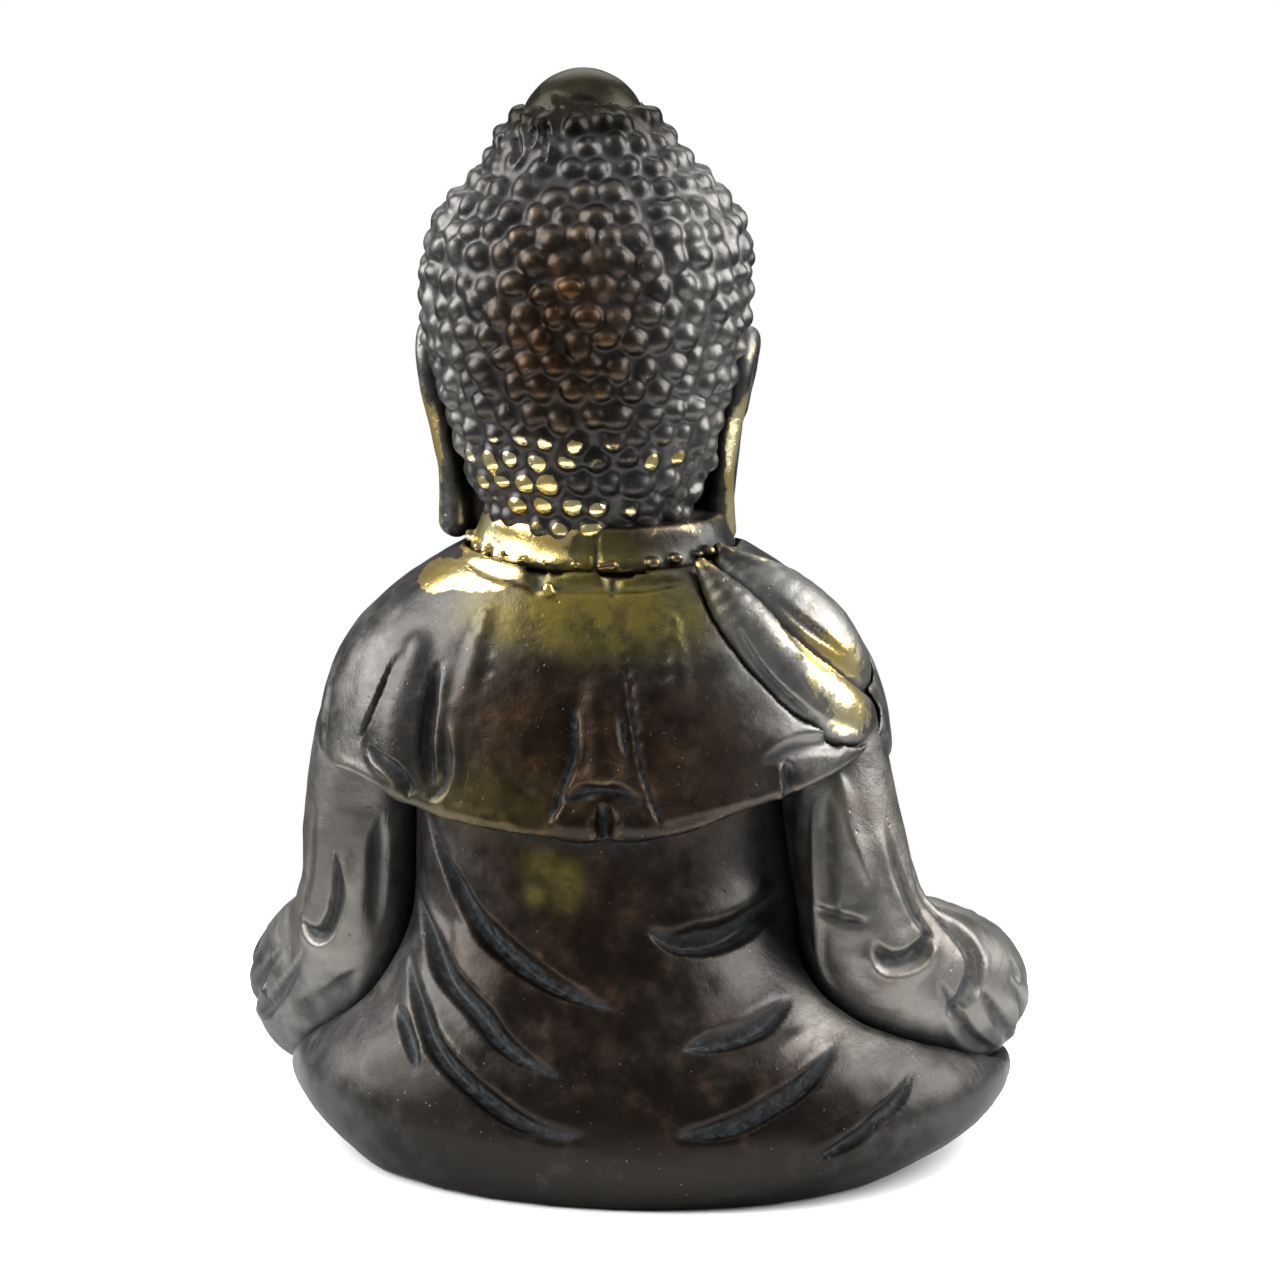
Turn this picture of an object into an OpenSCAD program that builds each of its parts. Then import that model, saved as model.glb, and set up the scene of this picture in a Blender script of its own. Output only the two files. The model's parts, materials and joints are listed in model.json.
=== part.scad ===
// Seated Buddha statuette, assembled from hollow brass castings and brazed details.
// Front faces -Y, +Z is up, and the origin is the middle of the resting face.

/* [Statue] */
// Overall height from the resting face to the top of the jewel
height = 100; // [70:5:160]
// Sideways offset of the torso from the middle of the base
sway = 1.8; // [0:0.1:2.4]
// Further sideways offset of the head
head_sway = 1.2; // [0:0.1:1.6]
// Thickness of the hollow castings
wall = 2.6; // [2:0.1:3.2]
// Thickness of the cape
cape_t = 1.8; // [1.5:0.1:2.2]
// Clearance left at every brazed joint
joint_gap = 0.12; // [0.08:0.01:0.2]

/* [Lower body] */
// Half width across the knees
lap_w = 32.8; // [31:0.1:34]
// Reach of the lap behind the origin
lap_back = 23.2; // [22:0.1:24]
// Reach of the lap in front of the origin, before the crossed legs
lap_front = 24.5; // [23:0.1:26]
// Thickness of the base plate
plate_t = 1.4; // [1:0.1:2]

/* [Upper body] */
// Half width across the cape at the shoulders
shoulder_w = 25.4; // [24.5:0.1:26]
// Reach of the cape behind the origin
cape_back = 17.6; // [17.2:0.1:18]
// Half width across the folded sleeves
elbow_w = 35.6; // [35:0.1:36]

/* [Head] */
// Half width of the hair
hair_w = 14.0; // [13.8:0.1:14.3]
// Distance between neighbouring rows of curls
curl_pitch = 2.5; // [2.3:0.05:3]
// How far one curl stands out
curl_r = 0.9; // [0.6:0.05:1]

/* [Hidden] */
left = 1;
right = -1;
ring_points = 32;
plate_n = 40;
far = 80;
patina = "#3a332c";
worn_brass = "#a88c4a";

// ---- Heights of the main stations, on a statue 100 tall ----
lap_top = 18;
hem_back = 33;
hem_side = 37;
neck_z = 55.2;
chin_z = 61.5;
brow_z = 76;
hairline_z = 82.5;
skull_z = 78;
cap_top = 90;
jewel_z = 96;
head_x = sway + head_sway;

// ---- Section lists: [height, half width, reach back, reach front] ----
lap_sections = [
    [0, 0.79 * lap_w, 0.93 * lap_back, 0.86 * lap_front],
    [3, 0.91 * lap_w, 0.99 * lap_back, 0.96 * lap_front],
    [8, lap_w, lap_back, lap_front],
    [12, 0.96 * lap_w, 0.93 * lap_back, 0.92 * lap_front],
    [15.5, 0.83 * lap_w, 0.82 * lap_back, 0.74 * lap_front],
    [lap_top, 0.62 * lap_w, 0.74 * lap_back, 0.52 * lap_front]];
torso_sections = [
    [10, 19.5, 17.8, 11.5],
    [20, 18.6, 16.6, 12.5],
    [30, 17.8, 15.6, 13],
    [38, 18.4, 14.9, 12.6],
    [46, 16.6, 12.6, 11],
    [51, 12.5, 9.8, 9],
    [neck_z, 9.2, 7.6, 7.4]];
cape_sections = [
    [hem_back - 3, 0.84 * shoulder_w, cape_back, 14.4],
    [hem_side, 0.975 * shoulder_w, 0.985 * cape_back, 14.6],
    [41, shoulder_w, 0.95 * cape_back, 14.2],
    [45.5, 0.95 * shoulder_w, 0.87 * cape_back, 13.2],
    [49.5, 0.83 * shoulder_w, 0.76 * cape_back, 11.8],
    [53, 0.64 * shoulder_w, 0.66 * cape_back, 10.4],
    [neck_z + 0.6, 0.46 * shoulder_w, 0.55 * cape_back, 9]];
hair_sections = [
    [57.6, 0.65 * hair_w, 9.4, 5],
    [62, 0.7 * hair_w, 10.8, 6.5],
    [67, 0.8 * hair_w, 12.4, 10],
    [73, 0.94 * hair_w, 13.6, 13],
    [79.5, hair_w, 13.8, 14.3],
    [84.5, 0.95 * hair_w, 13, 13.3],
    [88, 0.84 * hair_w, 11.4, 11.4],
    [cap_top + 0.6, 0.68 * hair_w, 9.2, 9.2]];
ushnisha_sections = [
    [cap_top - 1, 9.9, 9.4, 9.4],
    [92, 8.7, 8.3, 8.3],
    [94.4, 7.2, 6.9, 6.9],
    [jewel_z + 0.8, 4.6, 4.5, 4.5]];

// Rolls of cloth on the right shoulder: [x, y, z, radius]
fold_upper = [[-6.6, 5, 55.2, 2.2], [-11.6, 6, 52.6, 3.6], [-16.4, 5, 48.8, 4.6],
    [-19.8, 2.6, 44.8, 4.6], [-21, -1, 42.6, 3.4]];
fold_lower = [[-5.4, 9, 53.4, 1.8], [-9.4, 11.6, 49.4, 2.8], [-13.4, 11.8, 45.2, 3.4],
    [-17.6, 9.6, 41.6, 3.8], [-21, 5, 40, 3.8], [-21.8, -0.5, 40.2, 3]];
// Grooves in the robe at the back: [x, z] of each station, from one end to the other
back_grooves = [
    [[16.3, 32], [13, 25], [7, 20], [-1, 17.4]],
    [[17, 24.6], [13.5, 18.5], [8, 14], [1, 11.6]],
    [[16.4, 16.4], [12, 11.4], [7, 8], [2, 6.2]],
    [[-5.6, 23], [-9, 22], [-13, 22.2], [-16.6, 24]],
    [[-9, 12.6], [-12.6, 13.2], [-15.6, 14.8], [-18, 17.2]],
    [[-10, 5.8], [-14.4, 7], [-18.4, 9.6], [-21.4, 12.8]]];
// Grooves where the cape is gathered over the left shoulder, given in the same way
cape_grooves = [
    [[18, 48.5], [19.6, 46], [20.8, 43], [21.6, 40]],
    [[13.6, 47], [14.6, 43], [15, 39], [14.4, 35.6]]];
groove_radii = [0.4, 0.8, 0.9, 0.4];
fold_n = 14;

// Bands of curls: [lowest height, highest height, curls in one row]
hair_bands = [[57.8, 66, 26], [66, cap_top, 34]];
ushnisha_curls = 21;
jewel_r = 4;
urna_r = 0.9;
tenon_r = 4.4;
tenon_bore_r = 3;
// How far the upper hand lies above the lower one
hand_lift = 1.6;
// How square the outline of a section is: 2 is an ellipse
lap_square = 2.25;
cape_square = 2.35;

// ---- Shaping functions and modules ----
function power(value, p) = sign(value) * pow(abs(value), 2 / p);

// A rounded outline with its own reach to the back and to the front
function outline(w, back, front, p = 2.2, n = ring_points) = [
    for (i = [0:n - 1]) let (a = 360 * i / n)
        [w * power(cos(a), p), (sin(a) > 0 ? back : front) * power(sin(a), p)]];

function between(a, b, c, d, t) =
    b + 0.5 * t * (c - a + t * (2 * a - 5 * b + 4 * c - d + t * (3 * (b - c) + d - a)));

// Adds rounded steps between the sections of a loft
function eased(s, steps) = concat(
    [for (i = [0:len(s) - 2]) for (j = [0:steps - 1])
        between(s[max(i - 1, 0)], s[i], s[i + 1], s[min(i + 2, len(s) - 1)], j / steps)],
    [s[len(s) - 1]]);

function value_at(s, z, column, i = 0) =
    i >= len(s) - 2 || z < s[i + 1][0]
        ? s[i][column] + (s[i + 1][column] - s[i][column])
            * max(0, min(1, (z - s[i][0]) / (s[i + 1][0] - s[i][0])))
        : value_at(s, z, column, i + 1);

// A closed solid through stacked outlines, each made larger by grow
module loft(sections, grow = 0, x = 0, steps = 2, p = 2.2, n = ring_points) {
    rings = eased(sections, steps);
    last = len(rings) - 1;
    points = [for (r = rings) for (q = outline(r[1] + grow, r[2] + grow, r[3] + grow, p, n))
        [q[0] + x, q[1], r[0]]];
    sides = [for (k = [0:last - 1]) for (i = [0:n - 1]) let (j = (i + 1) % n)
        each [[k * n + i, k * n + n + j, k * n + j], [k * n + i, k * n + n + i, k * n + n + j]]];
    polyhedron(points, concat(sides,
        [[for (i = [0:n - 1]) i]], [[for (i = [n - 1:-1:0]) last * n + i]]), convexity = 6);
}

// One cast piece with a continuous skin
module cast(finish = patina) {
    color(finish) resize([0, 0, 0]) children();
}

module ball(c, r, stretch = [1, 1, 1], n = 16) {
    translate(c) scale(stretch) sphere(r, $fn = n);
}

// A limb through balls given as [x, y, z, radius]
module limb(stations, grow = 0, n = 12) {
    for (i = [0:len(stations) - 2]) hull() {
        for (s = [stations[i], stations[i + 1]])
            ball([s[0], s[1], s[2]], s[3] + grow, n = n);
    }
}

module above(z) {
    translate([-far, -far, z]) cube([2 * far, 2 * far, 2 * far]);
}

module below(z) {
    translate([-far, -far, z - 2 * far]) cube([2 * far, 2 * far, 2 * far]);
}

// ---- Solid forms that the pieces are cut from ----
// Thigh, knee and crossed shin under the robe
module leg_form(side, grow = 0) {
    shin = side == left ? -1 : 1;
    limb([[side * 15, 4, 8.6, 8.6], [side * 25, -12, 7.8, 7.6], [side * 13, -20, 6.4, 6.4],
        [-side * 6, -21 + shin, 6.6 + 1.2 * shin, 5.2]], grow);
}

module lap_form(grow = 0) {
    difference() {
        union() {
            loft(lap_sections, grow, p = lap_square);
            for (side = [left, right]) leg_form(side, grow);
        }
        below(0);
    }
}

module torso_form(grow = 0) {
    loft(torso_sections, grow, sway);
}

// Upper sleeve from the shoulder down to the elbow
module upper_sleeve_form(side, grow = 0) {
    limb([[sway + side * 17.5, 1.5, 45.5, 5], [sway * 0.8 + side * 21.4, 2.2, 36, 5.3],
        [sway * 0.5 + side * 23.6, 2.6, 25, 5.8], [side * 25.2, 3, 18.5, 6.6]], grow);
}

// Lower sleeve from the elbow over the knee and in to the wrist
module lower_sleeve_form(side, grow = 0) {
    limb([[side * 26.6, 2.6, 17, 6.2], [side * (elbow_w - 6.6), -7.5, 15, 6.6],
        [side * 21, -15.5, 16, 5.6], [side * 11.5, -18.2, 16.6, 4.4]], grow);
    ball([side * (elbow_w - 7.2), -4, 16.5], 7.2 + grow, [1, 1.15, 0.92]);
}

// Cuts the wearer's chest opening, a rounded V from the throat to the waist
module chest_opening(grow = 0) {
    translate([sway, 0, 0]) rotate([90, 0, 0]) linear_extrude(far) hull() {
        translate([0, 35]) circle(4.5 + grow, $fn = 24);
        translate([0, neck_z + 3]) circle(7 + grow, $fn = 24);
    }
}

// Everything below the cape's hem, which dips at the middle of the back
module under_hem(grow = 0) {
    dip = (hem_side - hem_back) / 2;
    translate([sway, far, 0]) rotate([90, 0, 0]) linear_extrude(2 * far) polygon(concat(
        [for (x = [-35:2.5:35]) [x, hem_back - grow + dip * (1 - cos(min(180, 7 * abs(x))))]],
        [[35, -1], [-35, -1]]));
}

module cape_form(grow = 0) {
    loft(cape_sections, grow, sway, p = cape_square);
}

module cape_lining(grow = 0) {
    loft(cape_sections, grow - cape_t, sway, p = cape_square);
}

// How far back a loft's surface stands at a sideways distance x from its middle
function back_y(s, x, z, p) =
    value_at(s, z, 2) * pow(max(0, 1 - pow(abs(x) / value_at(s, z, 1), p)), 1 / p);

function robe_y(x, z) = max(z < lap_top ? back_y(lap_sections, x, z, lap_square) : 0,
    z > torso_sections[0][0] ? back_y(torso_sections, x - sway, z, 2.2) : 0);

// A groove through stations given as [x, y, z]
module groove(stations) {
    limb([for (i = [0:len(stations) - 1]) concat(stations[i], groove_radii[i])], n = 7);
}

module robe_grooves() {
    for (g = back_grooves) groove([for (q = g) [q[0], robe_y(q[0], q[1]), q[1]]]);
}

module shoulder_grooves() {
    for (g = cape_grooves)
        groove([for (q = g) [q[0], back_y(cape_sections, q[0] - sway, q[1], cape_square), q[1]]]);
}

// Box pleat hanging down the middle of the cape's back, ending in a wider bow
module pleat_form() {
    translate([sway - 1.2, cape_back - 1, hem_back]) {
        hull() {
            ball([0.1, -2.6, 13.4], 1.1, n = 12);
            for (x = [-3.1, 3.3]) ball([x, 0, 2], 1.7, n = 12);
        }
        limb([[-4.4, 0.1, 1.7, 1.5], [4.3, 0.2, 1.6, 1.4]], n = 14);
    }
}

module neck_form(grow = 0) {
    translate([sway, -0.5, 50]) cylinder(h = 16, r = 7.4 + grow, $fn = 32);
}

module tenon_form(grow = 0) {
    translate([sway, -0.5, 47 - grow]) cylinder(h = 16 + 2 * grow, r = tenon_r + grow, $fn = 48);
}

module collar_form(grow = 0) {
    intersection() {
        loft([[neck_z - 0.4, 12.2, 10.2, 9.6], [neck_z + 1.6, 11.4, 9.6, 9],
            [neck_z + 3.6, 10.4, 8.8, 8.4]], grow, sway, steps = 1);
        below(neck_z + 3.6 + grow);
    }
}

module skull_form(grow = 0) {
    difference() {
        union() {
            ball([head_x, -1.2, skull_z], 12.4 + grow, [1, 0.99, 1.06], n = 28);
            ball([head_x, -3, 70], 10.2 + grow, [1, 0.96, 1], n = 26);
            ball([head_x, -6.4, chin_z + 4], 5 + grow, [1.1, 1, 0.9], n = 24);
        }
        above(cap_top - 2);
    }
}

module nose() {
    hull() {
        ball([head_x, -12.6, brow_z + 0.4], 0.9, n = 10);
        ball([head_x, -14.4, 70.6], 1.2, n = 10);
        for (s = [left, right]) ball([head_x + s * 1.6, -13, 70], 0.9, n = 10);
    }
}

module urna_form(grow = 0, n = 24) {
    translate([head_x, -13.4, 79]) sphere(urna_r + grow, $fn = n);
}

module mouth() {
    for (s = [left, right]) hull() {
        ball([head_x, -12.8, 66.6], 0.8, n = 10);
        ball([head_x + s * 2.2, -12.2, 66.8], 0.5, n = 10);
    }
}

module eyelid(side) {
    ball([head_x + side * 4.6, -10.9, 73.8], 2.1, [1.25, 0.9, 0.62], n = 14);
}

// Outline of the bare face seen from the front, pulled straight back through the head
module face_window(grow = 0) {
    translate([head_x, 0, 0]) rotate([90, 0, 0]) linear_extrude(far) offset(grow)
        hull() {
            translate([0, hairline_z - 9]) circle(9.6, $fn = 28);
            translate([0, chin_z + 2]) circle(10.8, $fn = 28);
        }
}

module jewel_form(grow = 0) {
    translate([head_x, 0, jewel_z]) intersection() {
        sphere(jewel_r + grow, $fn = 48);
        translate([0, 0, -2.2 - grow]) cylinder(h = 2 * jewel_r, r = 2 * jewel_r);
    }
}

// The part of the head that the hair leaves bare
module bare_face(grow = 0) {
    intersection() {
        face_window(grow);
        translate([-far, -far - 4 + grow, 0]) cube([2 * far, far, 2 * far]);
    }
}

module hair_form(grow = 0) {
    difference() {
        loft(hair_sections, grow, head_x);
        bare_face(-grow);
        above(cap_top + grow);
    }
}

// How far a point of the curled skin stands out: only every other point of every other ring does
function curl_peak(ring, i) = ring % 2 == 1 && (i + (ring - 1) / 2) % 2 == 0;

// A closed solid covered in rows of curls, each row set half a curl round from the last
module curled(sections, z_low, z_high, count) {
    last = 2 * round((z_high - z_low) / (0.87 * curl_pitch));
    n = 2 * count;
    points = [for (k = [0:last]) let (
            z = z_low + k * (z_high - z_low) / last,
            w = value_at(sections, z, 1),
            back = value_at(sections, z, 2),
            front = value_at(sections, z, 3))
        for (i = [0:n - 1]) let (a = 360 * i / n, out = curl_peak(k, i) ? curl_r : 0)
            [head_x + (w + out) * cos(a), ((sin(a) > 0 ? back : front) + out) * sin(a), z]];
    sides = [for (k = [0:last - 1]) for (i = [0:n - 1]) let (
            j = (i + 1) % n, a = k * n + i, b = k * n + j, c = a + n, d = b + n)
        each curl_peak(k, i) || curl_peak(k + 1, j)
            ? [[a, d, b], [a, c, d]] : [[a, c, b], [c, d, b]]];
    polyhedron(points, concat(sides,
        [[for (i = [0:n - 1]) i]], [[for (i = [n - 1:-1:0]) last * n + i]]), convexity = 10);
}

// Long-lobed ear: a leaf on edge, standing off the side of the head
module ear_form(side, grow = 0) {
    limb([[head_x + side * 14.2, -2.4, 74, 1.1], [head_x + side * 13.8, -1.4, 70, 1.1],
        [head_x + side * 12.8, -2.2, 64, 1.1], [head_x + side * 12.3, -3.4, 58.8, 1.3]], grow, n = 10);
    limb([[head_x + side * 12.4, -5, 73.4, 1.1], [head_x + side * 11.6, -5.4, 67, 1],
        [head_x + side * 11.8, -5.2, 60, 1.2]], grow, n = 10);
    hull() {
        ball([head_x + side * 13.6, -2.4, 73], 0.9 + grow, n = 10);
        ball([head_x + side * 12, -5, 72], 0.9 + grow, n = 10);
        ball([head_x + side * 12.2, -3.2, 59.4], 0.9 + grow, n = 10);
        ball([head_x + side * 11.6, -5.2, 60.4], 0.9 + grow, n = 10);
    }
}

// Palm and four fingers lying across the lap, with the thumb raised to meet its pair
module hand_form(side, lift, grow = 0) {
    limb([[side * 8.5, -18.6, 15.4 + lift, 2.8], [side * 4, -19.6, 14.6 + lift, 2.9]], grow);
    for (f = [0:3]) limb([[side * 4, -17.4 - 1.7 * f, 14.4 + lift, 1.1],
        [-side * 3.4, -17 - 1.75 * f, 13.9 + lift, 1]], grow, n = 10);
    limb([[side * 5.4, -20, 16.6 + lift, 1.2], [side * 2.8, -20, 18.6, 1.05],
        [side * 1.1, -20, 19.2, 0.9]], grow, n = 10);
}

module foot_form(side, grow = 0) {
    hull() {
        ball([side * 8.5, -20, 10.4], 3 + grow, [1, 1, 0.8], n = 14);
        ball([side * 16, -16.4, 12.2], 2.6 + grow, [1, 1, 0.8], n = 14);
    }
    for (t = [0:4]) ball([side * (18.6 - 0.35 * t), -18.6 + 1.25 * t, 12.4], 1.05 - 0.1 * t + grow, n = 8);
}

// ---- Pieces ----
module base_plate() {
    s = lap_sections[0];
    color(worn_brass) linear_extrude(plate_t)
        polygon(outline(s[1] - wall, s[2] - wall, s[3] - wall, lap_square, plate_n));
}

module lap_casting() {
    cast() difference() {
        lap_form();
        robe_grooves();
        loft([for (s = lap_sections) [s[0] - wall, s[1] - wall, s[2] - wall, s[3] - wall]],
            steps = 1, p = lap_square);
        loft([for (z = [-1, plate_t + joint_gap])
            [z, lap_sections[0][1] - wall, lap_sections[0][2] - wall, lap_sections[0][3] - wall]],
            joint_gap, steps = 1, p = lap_square, n = plate_n);
        loft(torso_sections, -wall, sway, steps = 1);
        for (side = [left, right]) foot_form(side, joint_gap);
    }
}

module torso_casting() {
    cast() difference() {
        torso_form();
        robe_grooves();
        lap_form(joint_gap);
        loft(torso_sections, -wall, sway, steps = 1);
        neck_form(joint_gap);
        sash_form(joint_gap);
    }
}

// A tied band under the chest
module sash_form(grow = 0) {
    intersection() {
        loft([for (z = [28, 29.5, 32.5, 34]) let (out = z > 29 && z < 33 ? 1 : 0.5)
            [z, value_at(torso_sections, z, 1) + out, 2, value_at(torso_sections, z, 3) + out]],
            grow, sway, steps = 1);
        translate([sway - 14 - grow, -far, 28 - grow]) cube([28 + 2 * grow, far - 9 + grow, 6 + 2 * grow]);
    }
    limb([[sway, -13.6, 31, 1.8], [sway - 1.6, -14.2, 26, 1.3]], grow, n = 12);
    limb([[sway, -13.6, 31, 1.8], [sway + 2, -14, 27, 1.2]], grow, n = 12);
}

module waist_sash() {
    cast() difference() {
        sash_form();
        loft(torso_sections, -1.6, sway, steps = 1);
    }
}

module shoulder_cape() {
    cast() difference() {
        union() {
            cape_form();
            pleat_form();
        }
        shoulder_grooves();
        cape_lining();
        torso_form(joint_gap);
        under_hem();
        chest_opening();
        collar_form(joint_gap);
        neck_form(joint_gap);
        sash_form(joint_gap);
    }
}

module shoulder_fold_upper() {
    cast() difference() {
        limb(fold_upper, n = fold_n);
        cape_form(joint_gap);
        collar_form(joint_gap);
    }
}

module shoulder_fold_lower() {
    cast() difference() {
        limb(fold_lower, n = fold_n);
        cape_form(joint_gap);
        limb(fold_upper, joint_gap, fold_n);
        collar_form(joint_gap);
        upper_sleeve_form(right, joint_gap);
    }
}

// The collar ring, with small beads of filler metal left along its joint
module neck_collar() {
    cast(worn_brass) difference() {
        union() {
            collar_form();
            for (a = [50, 72, 96, 118, 138])
                ball([sway + 12.2 * cos(a), 10.2 * sin(a), neck_z + 0.5], 0.5, n = 10);
        }
        neck_form(joint_gap);
        torso_form(joint_gap);
        skull_form(joint_gap);
        hair_form(joint_gap);
        for (side = [left, right]) ear_form(side, joint_gap);
    }
}

module upper_sleeve(side) {
    cast() difference() {
        intersection() {
            upper_sleeve_form(side);
            union() {
                cape_lining(-joint_gap);
                under_hem(joint_gap);
            }
        }
        torso_form(joint_gap);
        lower_sleeve_form(side, joint_gap);
        lap_form(joint_gap);
    }
}

module lower_sleeve(side) {
    cast() difference() {
        lower_sleeve_form(side);
        lap_form(joint_gap);
        torso_form(joint_gap);
        hand_form(left, 0, joint_gap);
        hand_form(right, hand_lift, joint_gap);
        foot_form(side, joint_gap);
        sash_form(joint_gap);
    }
}

module hand(side, lift) {
    cast() difference() {
        hand_form(side, lift);
        lap_form(joint_gap);
        torso_form(joint_gap);
        foot_form(left, joint_gap);
        foot_form(right, joint_gap);
        if (side == left) hand_form(right, hand_lift, joint_gap);
    }
}

module foot(side) {
    cast() foot_form(side);
}

// A turned tube that locates the head in the torso's neck
module neck_tenon() {
    color(worn_brass) difference() {
        tenon_form();
        translate([sway, -0.5, 40]) cylinder(h = 30, r = tenon_bore_r, $fn = 48);
    }
}

module head_casting() {
    cast() difference() {
        union() {
            difference() {
                skull_form();
                hair_form(joint_gap);
            }
            intersection() {
                neck_form();
                above(neck_z - 3);
            }
            nose();
            mouth();
            for (side = [left, right]) eyelid(side);
        }
        ball([head_x, -1.2, skull_z], 12.4 - wall, [1, 0.99, 1.06], n = 18);
        tenon_form(joint_gap);
        urna_form(joint_gap, 12);
        for (side = [left, right]) ear_form(side, joint_gap);
    }
}

module hair_cap() {
    cast() difference() {
        for (band = hair_bands) curled(hair_sections, band[0], band[1], band[2]);
        bare_face();
        skull_form(joint_gap);
        neck_form(joint_gap);
        loft(ushnisha_sections, joint_gap, head_x, steps = 1);
        for (side = [left, right]) ear_form(side, joint_gap);
        above(cap_top - 0.2);
    }
}

module ushnisha() {
    cast() difference() {
        curled(ushnisha_sections, cap_top - 0.9, jewel_z - 0.6, ushnisha_curls);
        loft(ushnisha_sections, -wall, head_x, steps = 1);
        jewel_form(joint_gap);
    }
}

// Smooth domed cap at the very top
module crown_jewel() {
    color(patina) jewel_form();
}

module ear(side) {
    cast(worn_brass) ear_form(side);
}

module urna() {
    color(patina) urna_form();
}

scale_up = height / 100;
scale(scale_up) base_plate();
scale(scale_up) lap_casting();
scale(scale_up) torso_casting();
scale(scale_up) waist_sash();
scale(scale_up) shoulder_cape();
scale(scale_up) shoulder_fold_upper();
scale(scale_up) shoulder_fold_lower();
scale(scale_up) neck_collar();
scale(scale_up) upper_sleeve(left);  // left_upper_sleeve
scale(scale_up) upper_sleeve(right);  // right_upper_sleeve
scale(scale_up) lower_sleeve(left);  // left_lower_sleeve
scale(scale_up) lower_sleeve(right);  // right_lower_sleeve
scale(scale_up) hand(left, 0);  // left_hand
scale(scale_up) hand(right, hand_lift);  // right_hand
scale(scale_up) foot(left);  // left_foot
scale(scale_up) foot(right);  // right_foot
scale(scale_up) neck_tenon();
scale(scale_up) head_casting();
scale(scale_up) hair_cap();
scale(scale_up) ushnisha();
scale(scale_up) crown_jewel();
scale(scale_up) ear(left);  // left_ear
scale(scale_up) ear(right);  // right_ear
scale(scale_up) urna();
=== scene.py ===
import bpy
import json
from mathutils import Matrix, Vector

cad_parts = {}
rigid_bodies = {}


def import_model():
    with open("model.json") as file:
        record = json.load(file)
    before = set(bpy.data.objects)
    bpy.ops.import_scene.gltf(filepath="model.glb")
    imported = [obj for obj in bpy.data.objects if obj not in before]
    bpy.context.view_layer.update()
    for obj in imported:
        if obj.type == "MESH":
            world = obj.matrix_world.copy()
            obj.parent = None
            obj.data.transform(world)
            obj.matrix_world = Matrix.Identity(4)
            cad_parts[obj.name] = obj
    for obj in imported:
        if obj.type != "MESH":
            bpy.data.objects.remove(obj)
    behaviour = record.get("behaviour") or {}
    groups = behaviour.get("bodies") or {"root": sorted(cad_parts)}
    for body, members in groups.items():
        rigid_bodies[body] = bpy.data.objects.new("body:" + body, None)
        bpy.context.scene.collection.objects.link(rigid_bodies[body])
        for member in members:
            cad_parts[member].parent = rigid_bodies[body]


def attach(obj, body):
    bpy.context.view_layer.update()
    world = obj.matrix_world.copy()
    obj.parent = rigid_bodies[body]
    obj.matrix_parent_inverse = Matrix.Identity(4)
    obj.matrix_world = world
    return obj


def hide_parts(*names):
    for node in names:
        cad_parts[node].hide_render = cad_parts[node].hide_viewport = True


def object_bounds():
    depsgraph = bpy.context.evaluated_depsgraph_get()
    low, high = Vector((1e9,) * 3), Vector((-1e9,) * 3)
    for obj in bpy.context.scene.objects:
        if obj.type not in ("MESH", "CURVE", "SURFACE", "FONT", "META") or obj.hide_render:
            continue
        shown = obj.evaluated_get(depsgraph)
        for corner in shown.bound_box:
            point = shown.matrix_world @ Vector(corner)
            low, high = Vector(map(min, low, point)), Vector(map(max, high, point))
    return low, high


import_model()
CAD_BOX = [[float(v) for v in c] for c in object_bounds()]

import json
import math

import bmesh
import bpy
import numpy as np
import openvdb
from mathutils import Vector

# The statue is sculpted as distance fields in its own unit U, a hundredth of its height (1 mm).
# Its front faces -Y and its left side +X. SWAY and FACE_X are how far the chest and the face
# stand off the middle of the base.
U = CAD_BOX[1][2] / 100
FAR = 6.0  # fields are cut off at this distance
ROOM = 3.5  # how far round a shape its field is worked out
SKIN_BAND = 2.4  # a tool mark reaches this far into and out of the metal
SIDES = (1, -1)
SWAY, FACE_X = 1.8, 3.4


# ------------------------------------------------------------------ camera
def looking_in(name, data, aim, turn, rise, reach):
    """Links a camera or lamp that looks at a point from a turn, a rise and a distance."""
    t, r = math.radians(turn), math.radians(rise)
    away = Vector((math.sin(t) * math.cos(r), -math.cos(t) * math.cos(r), math.sin(r)))
    o = bpy.data.objects.new(name, data)
    o.location = Vector(aim) * U + away * reach * U
    o.rotation_euler = (-away).to_track_quat("-Z", "Y").to_euler()
    bpy.context.scene.collection.objects.link(o)
    return o


REACH, FRAME_WIDTH = 600, 116.6
cam = bpy.data.cameras.new("camera")
cam.sensor_width = 36
cam.lens = cam.sensor_width * REACH / FRAME_WIDTH
cam.clip_start = 0.01
bpy.context.scene.camera = looking_in("camera", cam, (-1.5, 0, 47.6), 190, 12, REACH)


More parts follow.
